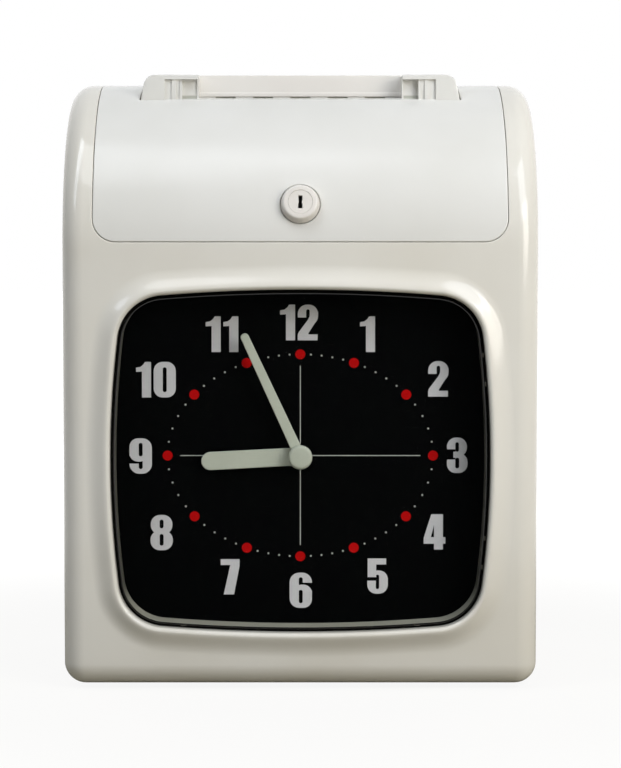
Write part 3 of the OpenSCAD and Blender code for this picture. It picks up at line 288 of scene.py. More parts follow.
class Form:  # points in mm and faces of one piece, gathered from closed shells
    def __init__(self):
        self.points, self.faces, self.marks = [], [], []

    def put(self, points):
        start = len(self.points)
        self.points.extend(tuple(p) for p in points)
        return list(range(start, start + len(points)))

    def face(self, corners, mark=0):
        self.faces.append(tuple(corners))
        self.marks.append(mark)

    def bridge(self, first, second, mark=0):  # quads between two closed rows of the same length
        count = len(first)
        for i in range(count):
            j = (i + 1) % count
            self.face((first[i], first[j], second[j], second[i]), mark)

    def shell(self, rows, mark=0):  # bridged rows with both ends closed
        rows = [self.put(r) for r in rows]
        for first, second in zip(rows, rows[1:]):
            self.bridge(first, second, mark)
        self.face(rows[0][::-1], mark)
        self.face(rows[-1], mark)

    def carry(self, row, loops, mark=0):  # bridged on from a row through new loops, up to the last
        for loop in loops:
            fresh = self.put(loop)
            self.bridge(row, fresh, mark)
            row = fresh
        return row

    def loft(self, rows, marks=None):  # bridged rows, the last joined to the first
        rows = [self.put(r) for r in rows]
        for first, second, mark in zip(rows, rows[1:] + rows[:1], marks or [0] * len(rows)):
            self.bridge(first, second, mark)

    def piece(self, name, body, slot, stands=(), finishes=None, sharp=32):
        mesh = bpy.data.meshes.new(name)
        work = bmesh.new()
        corners = [work.verts.new(Vector(p) * mm) for p in self.points]
        for loop, mark in zip(self.faces, self.marks):
            if len(set(loop)) > 2 and not work.faces.get([corners[i] for i in loop]):
                work.faces.new([corners[i] for i in loop]).material_index = mark
        bmesh.ops.remove_doubles(work, verts=work.verts, dist=2e-6)
        bmesh.ops.dissolve_degenerate(work, edges=work.edges, dist=1e-6)
        bmesh.ops.delete(work, geom=[v for v in work.verts if not v.link_faces], context="VERTS")
        bmesh.ops.recalc_face_normals(work, faces=work.faces)
        work.to_mesh(mesh)
        work.free()
        for material in finishes or [finish[slot]]:
            mesh.materials.append(material)
        mesh.shade_smooth()
        mesh.set_sharp_from_angle(angle=radians(sharp))
        item = added(name, mesh)
        even = item.modifiers.new("evenShading", "WEIGHTED_NORMAL")
        even.keep_sharp = True
        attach(item, body)
        if stands:
            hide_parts(*stands)


def moved(loop, d):  # a closed loop moved to its left by d, with mitred corners
    here = np.array(loop, float)
    ahead = np.roll(here, -1, 0) - here
    ahead /= np.linalg.norm(ahead, axis=1)[:, None]
    side = np.stack([-ahead[:, 1], ahead[:, 0]], 1)
    before = np.roll(side, 1, 0)
    mitre = (side + before) / np.maximum(1 + (side * before).sum(1), 0.2)[:, None]
    return [tuple(p) for p in here + d * mitre]


def sidesOf(loop):  # both ends of each side
    points = np.array(loop, float)
    return zip(points, np.roll(points, -1, 0))


def edgesOf(loop, start):  # both indices of each side
    return [(start + i, start + (i + 1) % len(loop)) for i in range(len(loop))]


def within(points, loops):  # even-odd test of many points
    points = np.asarray(points, float)
    odd = np.zeros(len(points), bool)
    for loop in loops:
        for (x0, y0), (x1, y1) in sidesOf(loop):
            if y0 != y1:
                odd ^= ((y0 > points[:, 1]) != (y1 > points[:, 1])) & (
                    points[:, 0] < (x1 - x0) * (points[:, 1] - y0) / (y1 - y0) + x0)
    return odd


def clearOf(points, loops, gap):  # points at least gap away from every loop's corners and edges
    points = np.asarray(points, float).reshape(-1, 2)
    keep = np.ones(len(points), bool)
    for loop in loops:
        for p, q in sidesOf(loop):
            run = q - p
            t = np.clip(((points - p) @ run) / max(run @ run, 1e-12), 0, 1)
            keep &= np.hypot(*(points - p - t[:, None] * run).T) > gap
    return points[keep]


def triangles(loops, inner, chains=()):  # indices into the points of loops, inner and chains
    points, edges = [], []
    for loop in loops:
        edges += edgesOf(loop, len(points))
        points += list(loop)
    points += [tuple(p) for p in inner]
    for chain in chains:
        edges += [(len(points) + i, len(points) + i + 1) for i in range(len(chain) - 1)]
        points += list(chain)
    spots, _, faces, source, _, _ = delaunay_2d_cdt([Vector(p) for p in points], edges, [], 0, 1e-6)
    centres = [sum((spots[i] for i in f), Vector((0, 0))) / 3 for f in faces]
    keep = within([(c.x, c.y) for c in centres], loops)
    return [[source[i][0] for i in f] for f, k in zip(faces, keep) if k]


def parted(start, run, count):  # a run in even steps
    return [start + run * i / count for i in range(count + 1)]


def plate(form, loops, back, front, bend, inner, rounding, steps, mark=0, walls=None, levels=()):
    inner = [tuple(p) for p in inner]  # front edges are rounded; loops have the sheet on their left
    tops, lows = [], []
    for loop, wall in zip(loops, walls or [bend] * len(loops)):
        rows = [[wall(u, v, w) for u, v in loop] for w in levels]
        for t in parted(0, pi / 2, steps):
            use = wall if t < pi / 2 else bend
            ring = moved(loop, rounding * (1 - cos(t)))
            rows.append([use(u, v, front - rounding * (1 - sin(t))) for u, v in ring])
        lows.append(form.put([wall(u, v, back) for u, v in loop]))
        tops.append(form.carry(lows[-1], rows, mark))
    outlines = [moved(loop, rounding) for loop in loops]
    for rows, edges, level, flip in ((tops, outlines, front, False), (lows, loops, back, True)):
        spots = [i for r in rows for i in r] + form.put([bend(u, v, level) for u, v in inner])
        for tri in triangles(edges, inner):
            form.face([spots[i] for i in (tri[::-1] if flip else tri)], mark)


def arcPoints(cx, cy, r, start, end, steps):
    angles = [radians(a) for a in parted(start, end - start, steps)]
    return [(cx + r * cos(a), cy + r * sin(a)) for a in angles]


def roundRect(x0, y0, x1, y1, r, steps=6):  # counter-clockwise
    r = min(r, (x1 - x0) / 2, (y1 - y0) / 2)
    corners = ((x1 - r, y0 + r, -90), (x1 - r, y1 - r, 0), (x0 + r, y1 - r, 90), (x0 + r, y0 + r, 180))
    return [p for cx, cy, a in corners for p in arcPoints(cx, cy, r, a, a + 90, steps)]


def boxLoop(x0, y0, x1, y1):
    return [(x0, y0), (x1, y0), (x1, y1), (x0, y1)]


def circle(cx, cy, r, steps):
    return [(cx + r * cos(2 * pi * i / steps), cy + r * sin(2 * pi * i / steps)) for i in range(steps)]


def turned(form, profile, place, steps):  # (radius, height) pairs turned about a place's own Z
    rows = []
    for r, h in profile:
        if r < 1e-6:
            rows.append(form.put([place @ Vector((0, 0, h))]) * steps)
        else:
            rows.append(form.put([place @ Vector((x, y, h)) for x, y in circle(0, 0, r, steps)]))
    for first, second in zip(rows, rows[1:]):
        for i in range(steps):
            j = (i + 1) % steps
            corners = []
            for c in (first[i], first[j], second[j], second[i]):
                if c not in corners:
                    corners.append(c)
            if len(corners) > 2:
                form.face(corners)


def rod(form, r, start, end, place, steps):
    turned(form, [(0, start), (r, start), (r, end), (0, end)], place, steps)


def box(form, low, high, mark=0):
    form.shell([[(x, y, z) for x, y in boxLoop(*low[:2], *high[:2])] for z in (low[2], high[2])], mark)


def tube(form, bore, r, start, end, place, steps):
    turned(form, [(bore, start), (r, start), (r, end), (bore, end), (bore, start)], place, steps)


def placed(at, angle, axis):  # a piece's own place: moved, and turned about one axis
    return Matrix.Translation(at) @ Matrix.Rotation(angle, 4, axis)


def boxOf(node):  # lowest and highest corners in mm
    return [[round(v / mm, 3) for v in corner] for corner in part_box(node)]


def jointOf(name):  # place in mm and axis
    joint = next(j for j in frame["joints"] if j["name"] == name)
    return Vector(joint["pos_m"]) / mm, Vector(joint["axis"])


(_, caseFront, caseLow), (caseHalf, caseRear, caseTop) = boxOf("front_case")
(_, _, lidLow), (lidHalf, _, _) = boxOf("top_lid")
(_, throatFront, throatLow), (throatHalf, throatBack, throatTop) = boxOf("card_throat")
(_, _, lensLow), (lensHalf, _, lensHigh) = boxOf("window_lens")
hingeAt, dialAt = jointOf("lid_hinge")[0], jointOf("minute_turn")[0]
rim = dict(height=3.0, crest=1.7, foot=10.4, shift=0.72, roll=1.7, fadeRows=14, rollRows=8)  # raised frame
case = dict(half=caseHalf, face=caseFront + rim["height"], low=caseLow, top=caseTop, rear=caseRear,
            edge=9.0, curve=70.0, wall=2.8, parting=0.5, lip=0.4,
            spacing=0.9, columns=22, frontRows=40, curveRows=36, edgeRows=8, edgeColumns=10, topRow=12.0)
lens = dict(flange=3.75, bevel=0.1, lift=0.4, front=-61.7, seat=-59.2, back=-57.2, hollow=-4.2,
            edge=((-1.8, 0), (-1.5, 0.05), (-1.35, 0.2), (-1.3, 0.5)))  # (past the window, behind the front)
window = dict(z=(lensLow + lensHigh) / 2 + lens["lift"], halfW=lensHalf - lens["flange"],
              halfH=(lensHigh - lensLow) / 2 - lens["flange"] - lens["lift"],
              corner=19.8, topR=700.0, sideR=417.0, steps=(26, 18, 28))  # along a side, a corner and the top

# The case is one sheet, u across and v along its side view: below, lower edge, front, curve and top
curveY, curveZ = case["face"] + case["curve"], case["top"] - case["curve"]
sheetRear = case["rear"] - case["parting"]
runUnder = sheetRear - (case["face"] + case["edge"])
runEdge = case["edge"] * pi / 2
runFront = curveZ - case["low"] - case["edge"]
runCurve = case["curve"] * pi / 2
runTop = sheetRear - curveY
startFront = runUnder + runEdge
startCurve = startFront + runFront
startTop = startCurve + runCurve
sheetEnd = startTop + runTop


def sidePath(v):  # y, z and the outward normal at a distance v along the side view
    if v < runUnder:
        return sheetRear - v, case["low"], 0.0, -1.0
    if v < startFront:
        a = (v - runUnder) / case["edge"]
        y, z = case["face"] + case["edge"] * (1 - sin(a)), case["low"] + case["edge"] * (1 - cos(a))
        return y, z, -sin(a), -cos(a)
    if v < startCurve:
        return case["face"], case["low"] + case["edge"] + v - startFront, -1.0, 0.0
    if v < startTop:
        a = (v - startCurve) / case["curve"]
        return curveY - case["curve"] * cos(a), curveZ + case["curve"] * sin(a), -cos(a), sin(a)
    return curveY + v - startTop, case["top"], 0.0, 1.0


def caseBend(u, v, w):
    y, z, ny, nz = sidePath(v)
    r = case["edge"]
    flat = case["half"] - r
    a = min(max(abs(u) - flat, 0) / r, pi / 2)
    x = copysign(min(abs(u), flat) + (r + w) * sin(a), u)
    sink = r - (r + w) * cos(a)
    return x, y - ny * sink, z - nz * sink


def vOfFront(z):
    return startFront + z - case["low"] - case["edge"]


def vOfCurveY(y):
    if y >= curveY:
        return startTop + y - curveY
    return startCurve + case["curve"] * acos((curveY - y) / case["curve"])


curveRows = parted(startCurve, runCurve, case["curveRows"])
edgeColumns = parted(case["half"] - case["edge"], runEdge, case["edgeColumns"])
sheetHalf = edgeColumns[-1]
lid = dict(half=lidHalf - 0.2, low=lidLow - 0.25, hingeY=hingeAt.y, hingeZ=hingeAt.z, corner=9.5, gap=0.2,
           edge=0.5, openBack=26.5, openCorner=1.5, endCorner=1.2, cutCorner=(0.7, 0.2), cutInset=3.0,
           knuckle=4.0, wrap=165, wrapStep=15,  # degrees round the hinge
           bossR=(4.8, 10.0), boss=(-4.0, -2.6), eyeR=(1.7, 3.7), eyeLong=4.6, eyeIn=5.0,
           columns=20, cornerSteps=10, endSteps=4, cutColumns=18, cutClear=1.5, gridHalf=80, gridStep=8,
           spacing=1.6)


def lidOutline(grow, endV, endCorner):  # counter-clockwise in the developed sheet
    half = lid["half"] + grow
    lowV = startCurve + case["curve"] * asin((lid["low"] - curveZ) / case["curve"]) - grow
    r, e = lid["corner"] + grow, endCorner
    right = arcPoints(half - r, lowV + r, r, -90, 0, lid["cornerSteps"])
    right += [(half, v) for v in curveRows if lowV + r + 1 < v < min(endV, startTop) - 1]
    if endV > startTop + 2:
        right += [(half, startTop)]
    right += arcPoints(half - e, endV - e, e, 0, 90, lid["endSteps"])
    columns = range(1, lid["columns"])
    below = [(half - r - (2 * half - 2 * r) * (1 - i / lid["columns"]), lowV) for i in columns]
    above = [(half - e - (2 * half - 2 * e) * i / lid["columns"], endV) for i in columns]
    return below + right + above + [(-u, v) for u, v in right[::-1]]


def windowArcs():  # centre, radius, start, end and steps of each arc of the outline
    sideC = Vector((window["halfW"] - window["sideR"], 0))
    topC = Vector((0, window["halfH"] - window["topR"]))
    between = (sideC - topC).length
    toward = (sideC - topC) / between
    reachTop, reachSide = window["topR"] - window["corner"], window["sideR"] - window["corner"]
    along = (between ** 2 + reachTop ** 2 - reachSide ** 2) / (2 * between)
    across = sqrt(reachTop ** 2 - along ** 2)
    c = topC + along * toward + across * Vector((toward.y, -toward.x))
    side = atan2(c.y, c.x - sideC.x) * 180 / pi
    top = atan2(c.y - topC.y, c.x) * 180 / pi
    r, tall, wide = window["corner"], window["sideR"], window["topR"]
    n, m, k = window["steps"]
    return [(sideC.x, 0, tall, -side, side, n), (c.x, c.y, r, side, top, m),
            (0, topC.y, wide, top, 180 - top, k), (-c.x, c.y, r, 180 - top, 180 - side, m),
            (-sideC.x, 0, tall, 180 - side, 180 + side, n), (-c.x, -c.y, r, 180 + side, 180 + top, m),
            (0, -topC.y, wide, 180 + top, 360 - top, k), (c.x, -c.y, r, 360 - top, 360 - side, m)]


def windowRing(grow):  # counter-clockwise (x, z)
    points = []
    for cx, cz, r, start, end, steps in windowArcs():
        points += arcPoints(cx, cz + window["z"], r + grow, start, end, steps)[:-1]
    return points


def ringAt(grow, y):
    return [(x, y, z) for x, z in windowRing(grow)]


def rimSection():  # (outward, height) from the face in to the window's wall
    rows = []
    for i in range(rim["fadeRows"] + 1):
        k = 1 - i / rim["fadeRows"]
        rows.append((rim["crest"] + (rim["foot"] - rim["crest"]) * k,
                     rim["height"] * (0.5 + 0.5 * cos(pi * k ** rim["shift"]))))
    for i in range(1, rim["rollRows"] + 1):
        a = pi / 2 * i / rim["rollRows"]
        rows.append((rim["crest"] - rim["crest"] * sin(a), rim["height"] - rim["roll"] * (1 - cos(a))))
    return rows + [(0.0, -case["wall"])]


def buildFrontCase():
    form = Form()
    sideV = {0.0, runUnder / 2, *parted(runUnder, runEdge, case["edgeRows"])}
    sideV |= {*parted(startFront, runFront, case["frontRows"]), *curveRows}
    sideV = sorted(sideV | {startTop + case["topRow"], sheetEnd})
    flat = edgeColumns[0]
    middle = [flat * (i / case["columns"] - 1) for i in range(1, 2 * case["columns"])]
    across = sorted({*edgeColumns, *[-c for c in edgeColumns], *middle})
    outer = ([(u, 0.0) for u in across] + [(sheetHalf, v) for v in sideV[1:-1]]
             + [(u, sheetEnd) for u in across[::-1]] + [(-sheetHalf, v) for v in sideV[-2:0:-1]])
    opening = lidOutline(lid["gap"], vOfCurveY(lid["openBack"]), lid["openCorner"])[::-1]
    bends = (runUnder, startFront, startCurve)
    grid = [(s * c, v) for v in sideV[1:-1] for c in edgeColumns[1:-1] for s in (-1, 1)]
    grid += [(x, v) for v in sideV[1:-1] for x in across if abs(x) < flat - 1 and v not in bends]
    chains = [[(s * flat, v) for v in sideV] for s in (-1, 1)]  # where flat turns into round
    chains += [[(x, v) for x in across if abs(x) <= flat] for v in bends]
    rimRows = rimSection()

    def sheet(level, lidLoop, windowGrow, flip):
        pane = [(x, vOfFront(z)) for x, z in windowRing(windowGrow)][::-1]
        loops = [outer, lidLoop, pane]
        spots = clearOf(grid, [lidLoop, pane], case["spacing"])
        spots = spots[within(spots, [lidLoop]) == within(spots, [pane])]
        rows = [form.put([caseBend(u, v, level) for u, v in loop]) for loop in loops]
        every = [i for r in rows for i in r]
        for group in [spots] + chains:
            every += form.put([caseBend(u, v, level) for u, v in group])
        for tri in triangles(loops, spots, chains):
            form.face([every[i] for i in (tri[::-1] if flip else tri)])
        border, count, rise = rows[0], len(across), len(sideV)
        right = border[count - 1:count + rise - 1]
        left = [border[0]] + border[2 * count + rise - 2:][::-1] + [border[2 * count + rise - 3]]
        form.face(right)
        form.face(left[::-1])
        rear = border[:count] + border[count + rise - 2:2 * count + rise - 2]
        return rows[1], rows[2][::-1], rear

    edge = case["lip"]
    outLid, outPane, outRear = sheet(0.0, moved(opening, edge), rimRows[0][0], False)
    inLid, inPane, inRear = sheet(-case["wall"], opening, 0.0, True)
    rounded = []  # edge of the lid's opening
    for a in parted(0, pi / 2, 4)[1:]:
        ring = moved(opening, edge * (1 - sin(a)))
        rounded.append([caseBend(u, v, -edge * (1 - cos(a))) for u, v in ring])
    form.bridge(form.carry(outLid, rounded), inLid)
    raised = [ringAt(grow, case["face"] - height) for grow, height in rimRows[1:-1]]
    form.bridge(form.carry(outPane, raised), inPane)
    ends = [(u, 0.0) for u in across] + [(u, sheetEnd) for u in across[::-1]]
    parting = []
    for level in (-case["parting"], -case["wall"]):
        bent = [caseBend(u, v, level) for u, v in ends]
        parting.append([(x, case["rear"], z) for x, _, z in bent])
    form.bridge(form.carry(outRear, parting), inRear)
    addCaseInside(form)
    finishes = [finish["ivory_plastic"], trim["wellGrey"], trim["slotDark"]]
    form.piece("frontShell", "case", "ivory_plastic", ["front_case"], finishes)


inside = dict(
    well=((6.5, -59.6), (6.5, -46.0), (4.5, -46.0), (4.5, -59.6)),  # (outward from the window, y)
    liner=((1.2, -57.1), (1.2, -46.1), (-1.4, -46.1), (-1.3, -57.1)), linerMarks=(1, 1, 1, 2),
    pillarX=9.2, pillarZ=30.0, pillarY=-59.6, pillarR=4.0, pillarLong=13.6,  # these hold the lens
    ledge=((65.4, -3.5), (66.9, -3.5), (66.9, 0.5), (67.5, 0.5), (67.5, 2.5), (65.4, 2.5)),
    ledgeFrom=3, ledgeSpan=81, ledgeRows=27,  # degrees round the curve; the ledge is (radius, past the lid)
    eye=((1.6, 0), (3.0, 0), (3.2, 0.2), (3.2, 4.2), (1.6, 4.2), (1.6, 0)), eyeX=0.6,
    screwX=6.7, screwY=20.0, screwR=4.5, screwLong=13.9, screwLow=12.0, screwHigh=27.6,
    sill=((-57.6, -56.1, 3.5), (-59.6, -56.1, -0.5)), sillDown=3.5, sillX=1.5,  # (y from, y to, past the lid)
)


def addCaseInside(form):  # the dial's well, pillars for lens and screws, the lid's ledges, eyes and sill
    n = inside
    form.loft([ringAt(*row) for row in n["well"]])
    form.loft([ringAt(*row) for row in n["liner"]], n["linerMarks"])
    for sx in (-1, 1):
        for sz in (-1, 1):
            at = (sx * (window["halfW"] + n["pillarX"]), n["pillarY"], window["z"] + sz * n["pillarZ"])
            rod(form, n["pillarR"], 0, n["pillarLong"], placed(at, -pi / 2, "X"), 24)
        lanes = []
        for angle in parted(n["ledgeFrom"], n["ledgeSpan"], n["ledgeRows"]):
            y, z = cos(radians(angle)), sin(radians(angle))
            lanes.append([(sx * (lid["half"] + x), curveY - r * y, curveZ + r * z) for r, x in n["ledge"]])
        form.shell(lanes)
        at = (sx * (lid["half"] + n["eyeX"]), lid["hingeY"], lid["hingeZ"])
        turned(form, n["eye"], placed(at, sx * pi / 2, "Y"), 32)
        for z in (case["low"] + n["screwLow"], case["top"] - n["screwHigh"]):
            at = (sx * (case["half"] - n["screwX"]), n["screwY"], z)
            rod(form, n["screwR"], 0, n["screwLong"], placed(at, -pi / 2, "X"), 32)
    reach = lid["half"] + n["sillX"]
    for y0, y1, rise in n["sill"]:
        section = boxLoop(y0, lid["low"] - n["sillDown"], y1, lid["low"] + rise)
        form.shell([[(x, y, z) for y, z in section] for x in (-reach, reach)])


def lidPath(v):  # as the case's side view, then round the hinge
    turn = startTop + lid["hingeY"] - curveY
    if v <= turn:
        return sidePath(v)
    a = (v - turn) / lid["knuckle"]
    return (lid["hingeY"] + lid["knuckle"] * sin(a), lid["hingeZ"] + lid["knuckle"] * cos(a), sin(a), cos(a))


def lidBend(u, v, w):
    y, z, ny, nz = lidPath(v)
    return u, y + ny * w, z + nz * w


def upright(u, v, w):  # wall of the throat's cut-out, straight down
    y, z, _, nz = lidPath(v)
    return u, y, z + w / max(nz, 0.3)


lockAt, lockAxis = jointOf("lock_turn")
lock = dict(angle=asin(-lockAxis.z), seat=8.3, collar=8.1, plug=5.0, play=0.06, rise=3.3, tail=(5.9, -8.3),
            foot=((0.3, -0.6), (0, -0.3), (0.08, 0.2)),  # (in from the collar's rim, height over the lid)
            front=((0.65, 1.1), (0.8, 0.7), (1.0, 0.4), (1.3, 0.15), (1.7, 0.03)),  # (in, below the front)
            mouth=(0.12, 0.1), plugDown=0.1, plugEdge=0.12, plugBack=-6.9, plugEnd=-8.7, squareHalf=2.2,
            squareEnd=-10.2, keyLevel=(0.6, 2.4), keyHalf=(0.6, 2.65),
            keyhole=((-0.9, -2.7), (-0.9, -0.6), (-0.65, -0.2), (-0.65, 0.6), (-0.8, 0.9), (-0.8, 2.7),
                     (0.9, 2.7), (0.9, 0.7), (0.65, 0.3), (0.65, -0.5), (0.9, -0.9), (0.9, -2.7)))


def lockPlace():  # +Z out of the lid
    return placed(lockAt, pi / 2 - lock["angle"], "X")


def buildLid():
    form = Form()
    turn = startTop + lid["hingeY"] - curveY
    endV = turn + lid["knuckle"] * radians(lid["wrap"])
    outline = lidOutline(0.0, endV, lid["endCorner"])
    gap, inset = lid["gap"], lid["cutInset"]
    frontV, backV = vOfCurveY(throat["front"] - gap), vOfCurveY(throat["back"] + gap)
    half = throat["half"] + gap
    xs = parted(-half + inset, 2 * (half - inset), lid["cutColumns"])
    far, near = lid["cutCorner"]
    side = [(half - far, frontV), (half - near, frontV + near), (half, frontV + far)]
    clear = lid["cutClear"]  # the sides follow the leaning throat
    for v in [v for v in curveRows if frontV + clear < v < backV - clear] + [backV]:
        rise = max(0.0, (lidPath(v)[1] - throat["lip"]) / (throat["top"] - throat["lip"]))
        side.append((half - throat["taper"] * rise, v))
    cut = [(x, frontV) for x in xs[::-1]] + [(-x, v) for x, v in side] + [(x, backV) for x in xs] + side[::-1]
    seat = circle(0, startCurve + case["curve"] * lock["angle"], lock["seat"], 56)[::-1]
    loops = [outline, cut, seat]
    step = lid["wrapStep"]
    knuckle = [turn + lid["knuckle"] * radians(a) for a in range(step, lid["wrap"], step)]
    columns = range(-lid["gridHalf"], lid["gridHalf"] + 1, lid["gridStep"])
    grid = clearOf([(u, v) for v in curveRows[1:] + [turn] + knuckle for u in columns], loops, lid["spacing"])
    grid = grid[within(grid, loops)]
    plate(form, loops, -case["wall"], 0.0, lidBend, grid, lid["edge"], 5, walls=[lidBend, upright, lidBend])
    tube(form, *lid["bossR"], *lid["boss"], lockPlace(), 48)
    for sx in (-1, 1):  # hinge eyes, closed off with the pin's bore
        at = (sx * (lid["half"] - lid["eyeIn"]), lid["hingeY"], lid["hingeZ"])
        tube(form, *lid["eyeR"], 0, lid["eyeLong"], placed(at, sx * pi / 2, "Y"), 32)
    form.piece("lidShell", "lid", "ivory_plastic", ["top_lid"], [trim["lidPlastic"]])


def buildLock():
    place = lockPlace()
    form = Form()
    r, bore, rise = lock["collar"], lock["plug"] + lock["play"], lock["rise"]
    tailR, tail = lock["tail"]
    chamfer, depth = lock["mouth"]
    profile = [(bore, tail), (tailR, tail), (tailR, lock["foot"][0][1])]
    profile += [(r - d, h) for d, h in lock["foot"]] + [(r - d, rise - h) for d, h in lock["front"]]
    turned(form, profile + [(bore + chamfer, rise), (bore, rise - depth), (bore, tail)], place, 72)
    form.piece("lockCollar", "lid", "lock_metal", ["lock_collar"], sharp=24)
    form = Form()

    def flat(u, v, w):
        return place @ Vector((u, v, w))

    face = [circle(0, 0, lock["plug"], 56), list(lock["keyhole"])]
    back, end, half = lock["plugBack"], lock["plugEnd"], lock["squareHalf"]
    plate(form, face, back, lock["rise"] - lock["plugDown"], flat, (), lock["plugEdge"], 3)
    rod(form, lock["plug"], end, back, place, 48)
    square = boxLoop(-half, -half, half, half)
    form.shell([[flat(x, y, h) for x, y in square] for h in (lock["squareEnd"], end)])
    form.piece("lockPlug", "lock", "lock_metal", ["lock_plug"])
    form = Form()
    # a black box just inside the keyhole: painted shade for the keyway's depth
    wide, tall = lock["keyHalf"]
    form.shell([[flat(x, y, h) for x, y in boxLoop(-wide, -tall, wide, tall)] for h in lock["keyLevel"]])
    form.piece("keyway", "lock", "lock_metal", finishes=[trim["slotDark"]])


throat = dict(half=throatHalf, front=throatFront, back=throatBack, low=throatLow, top=throatTop,
              lip=throatTop - 10.9, wing=throatTop - 1.05, panelTop=throatTop - 0.75,
              brow=2.0, browPast=0.6, browBack=0.05, browDown=0.04, corner=5.5, taper=1.5, straight=58.0,
              lean=1.0, leanDeep=1.5, edge=0.4, panelPast=0.3,
              steps=((57.6, -22.4), (54.6, -23.0), (52.9, -22.0), (51.2, -22.6), (50.2, -19.4), (44, -20)),
              panelHalf=43.2, panel=-12.2, recess=-10.0, overlap=0.1, footUp=1.0, beadHigh=1.7, bead=0.25,
              slotFront=-17.6, slotBack=0.7, ribs=6, ribPitch=16.0, ribWidth=7.4, ribProud=0.05,
              shadeX=4.0, shadeHalf=3.2, shadeY=(-19.7, -19.3),
              cornerAt=(1.0, 0.9, 0.75, 0.55, 0.3, 0.0), rows=(-20, -14, -8, -2),  # shares of a corner, y
              lipHalf=57.7, lipFall=1.3, lipEdge=0.6, lipEdgeAt=(30, 60),  # degrees
              lipRound=1.0, lipRoundAt=(-10, 15, 45, 70, 90))


def throatBend(u, v, w):  # w is the height: sides lean in, outer corners are rounded, the front leans back
    t = throat
    rise = max(0.0, (w - t["lip"]) / (t["top"] - t["lip"]))
    side = min(max((abs(u) - t["straight"]) / (t["half"] - t["straight"]), 0), 1)
    over = max(0.0, abs(u) - t["half"] + t["corner"])
    drop = t["corner"] - sqrt(max(t["corner"] ** 2 - over ** 2, 0))
    z = t["low"] + (w - t["low"]) * (1 - drop / (t["top"] - t["low"]))
    lean = t["lean"] * rise if v < t["front"] + t["leanDeep"] else 0
    return u - copysign(t["taper"] * rise * side, u), v + lean, z


def buildThroat():
    form = Form()
    t = throat
    columns = [t["half"] - t["corner"] * (1 - s) for s in t["cornerAt"]]
    side = [(x, t["front"]) for x in columns]
    for x, y in t["steps"]:
        side += [(x, side[-1][1]), (x, y)]
    side += [(t["panelHalf"], side[-1][1]), (t["panelHalf"], t["recess"])]
    back = [(x, t["back"]) for x in columns]
    plan = [(-x, y) for x, y in side] + side[::-1] + back + [(-x, y) for x, y in back[::-1]]
    inner = [(s * x, y) for s in (-1, 1) for x in columns[1:-1] for y in t["rows"]]
    plate(form, [plan], t["low"], t["wing"], throatBend, inner, t["edge"], 3, levels=(t["lip"],))
    wide, foot = t["panelHalf"] + t["panelPast"], t["lip"] + t["footUp"]
    for s in (-1, 1):  # the wing's upper edge runs on over its stepped guides
        ends = sorted((s * wide, s * (t["steps"][0][0] + t["browPast"])))
        brow = boxLoop(ends[0], t["front"] + t["browBack"], ends[1], t["steps"][-1][1])
        plate(form, [brow], t["wing"] - t["brow"], t["wing"] - t["browDown"], throatBend, (), t["edge"], 3)

    def facing(u, v, w):
        return u, -w, v

    over, low = t["overlap"], t["low"]
    sheet, bead = boxLoop(-wide, foot, wide, t["panelTop"]), boxLoop(-wide, foot, wide, foot + t["beadHigh"])
    plate(form, [sheet], -t["recess"] - over, -t["panel"], facing, (), t["edge"], 3, 2)
    plate(form, [bead], -t["panel"] - over, -t["panel"] + t["bead"], facing, (), t["edge"] / 2, 3, 2)
    box(form, (-wide, t["panel"] + t["slotBack"], low), (wide, t["recess"] + over, foot + over), 1)
    for i in range(t["ribs"]):  # ribs that leave the slot open in dashes
        x, half = (i + 0.5 - t["ribs"] / 2) * t["ribPitch"], t["ribWidth"] / 2
        box(form, (x - half, t["panel"] + t["ribProud"], low), (x + half, t["recess"], foot + over))
    y0, y1 = t["shadeY"]
    for s in (-1, 1):  # shaded end of each guide
        x, half = s * (t["panelHalf"] + t["shadeX"]), t["shadeHalf"]
        box(form, (x - half, y0, low), (x + half, y1, foot + over), 1)
    lip = [(t["front"], low), (t["front"], t["lip"] - t["lipFall"])]
    for a in t["lipEdgeAt"]:
        a, r = radians(a), t["lipEdge"]
        lip.append((t["front"] + r - r * cos(a), t["lip"] - t["lipFall"] + r * sin(a)))
    for a in t["lipRoundAt"]:
        a, r = radians(a), t["lipRound"]
        lip.append((t["slotFront"] - r + r * sin(a), t["lip"] - r + r * cos(a)))
    lip.append((t["slotFront"], low))
    form.shell([[(x, y, z) for y, z in lip] for x in (-t["lipHalf"], t["lipHalf"])])
    finishes = [trim["lidPlastic"], trim["slotShade"], trim["guidePlastic"]]
    form.piece("cardThroat", "case", "ivory_plastic", ["card_throat"], finishes, 40)


tabs = dict(sideAt=(-44, -32, 32, 44), sideY=(-60.6, -60.2), side=(0.35, 0.9),  # z, y and half sizes
            lowAt=(-48.5, 48.5), lowY=(-58.6, -58.2), low=(1.2, 0.3), inset=0.9)


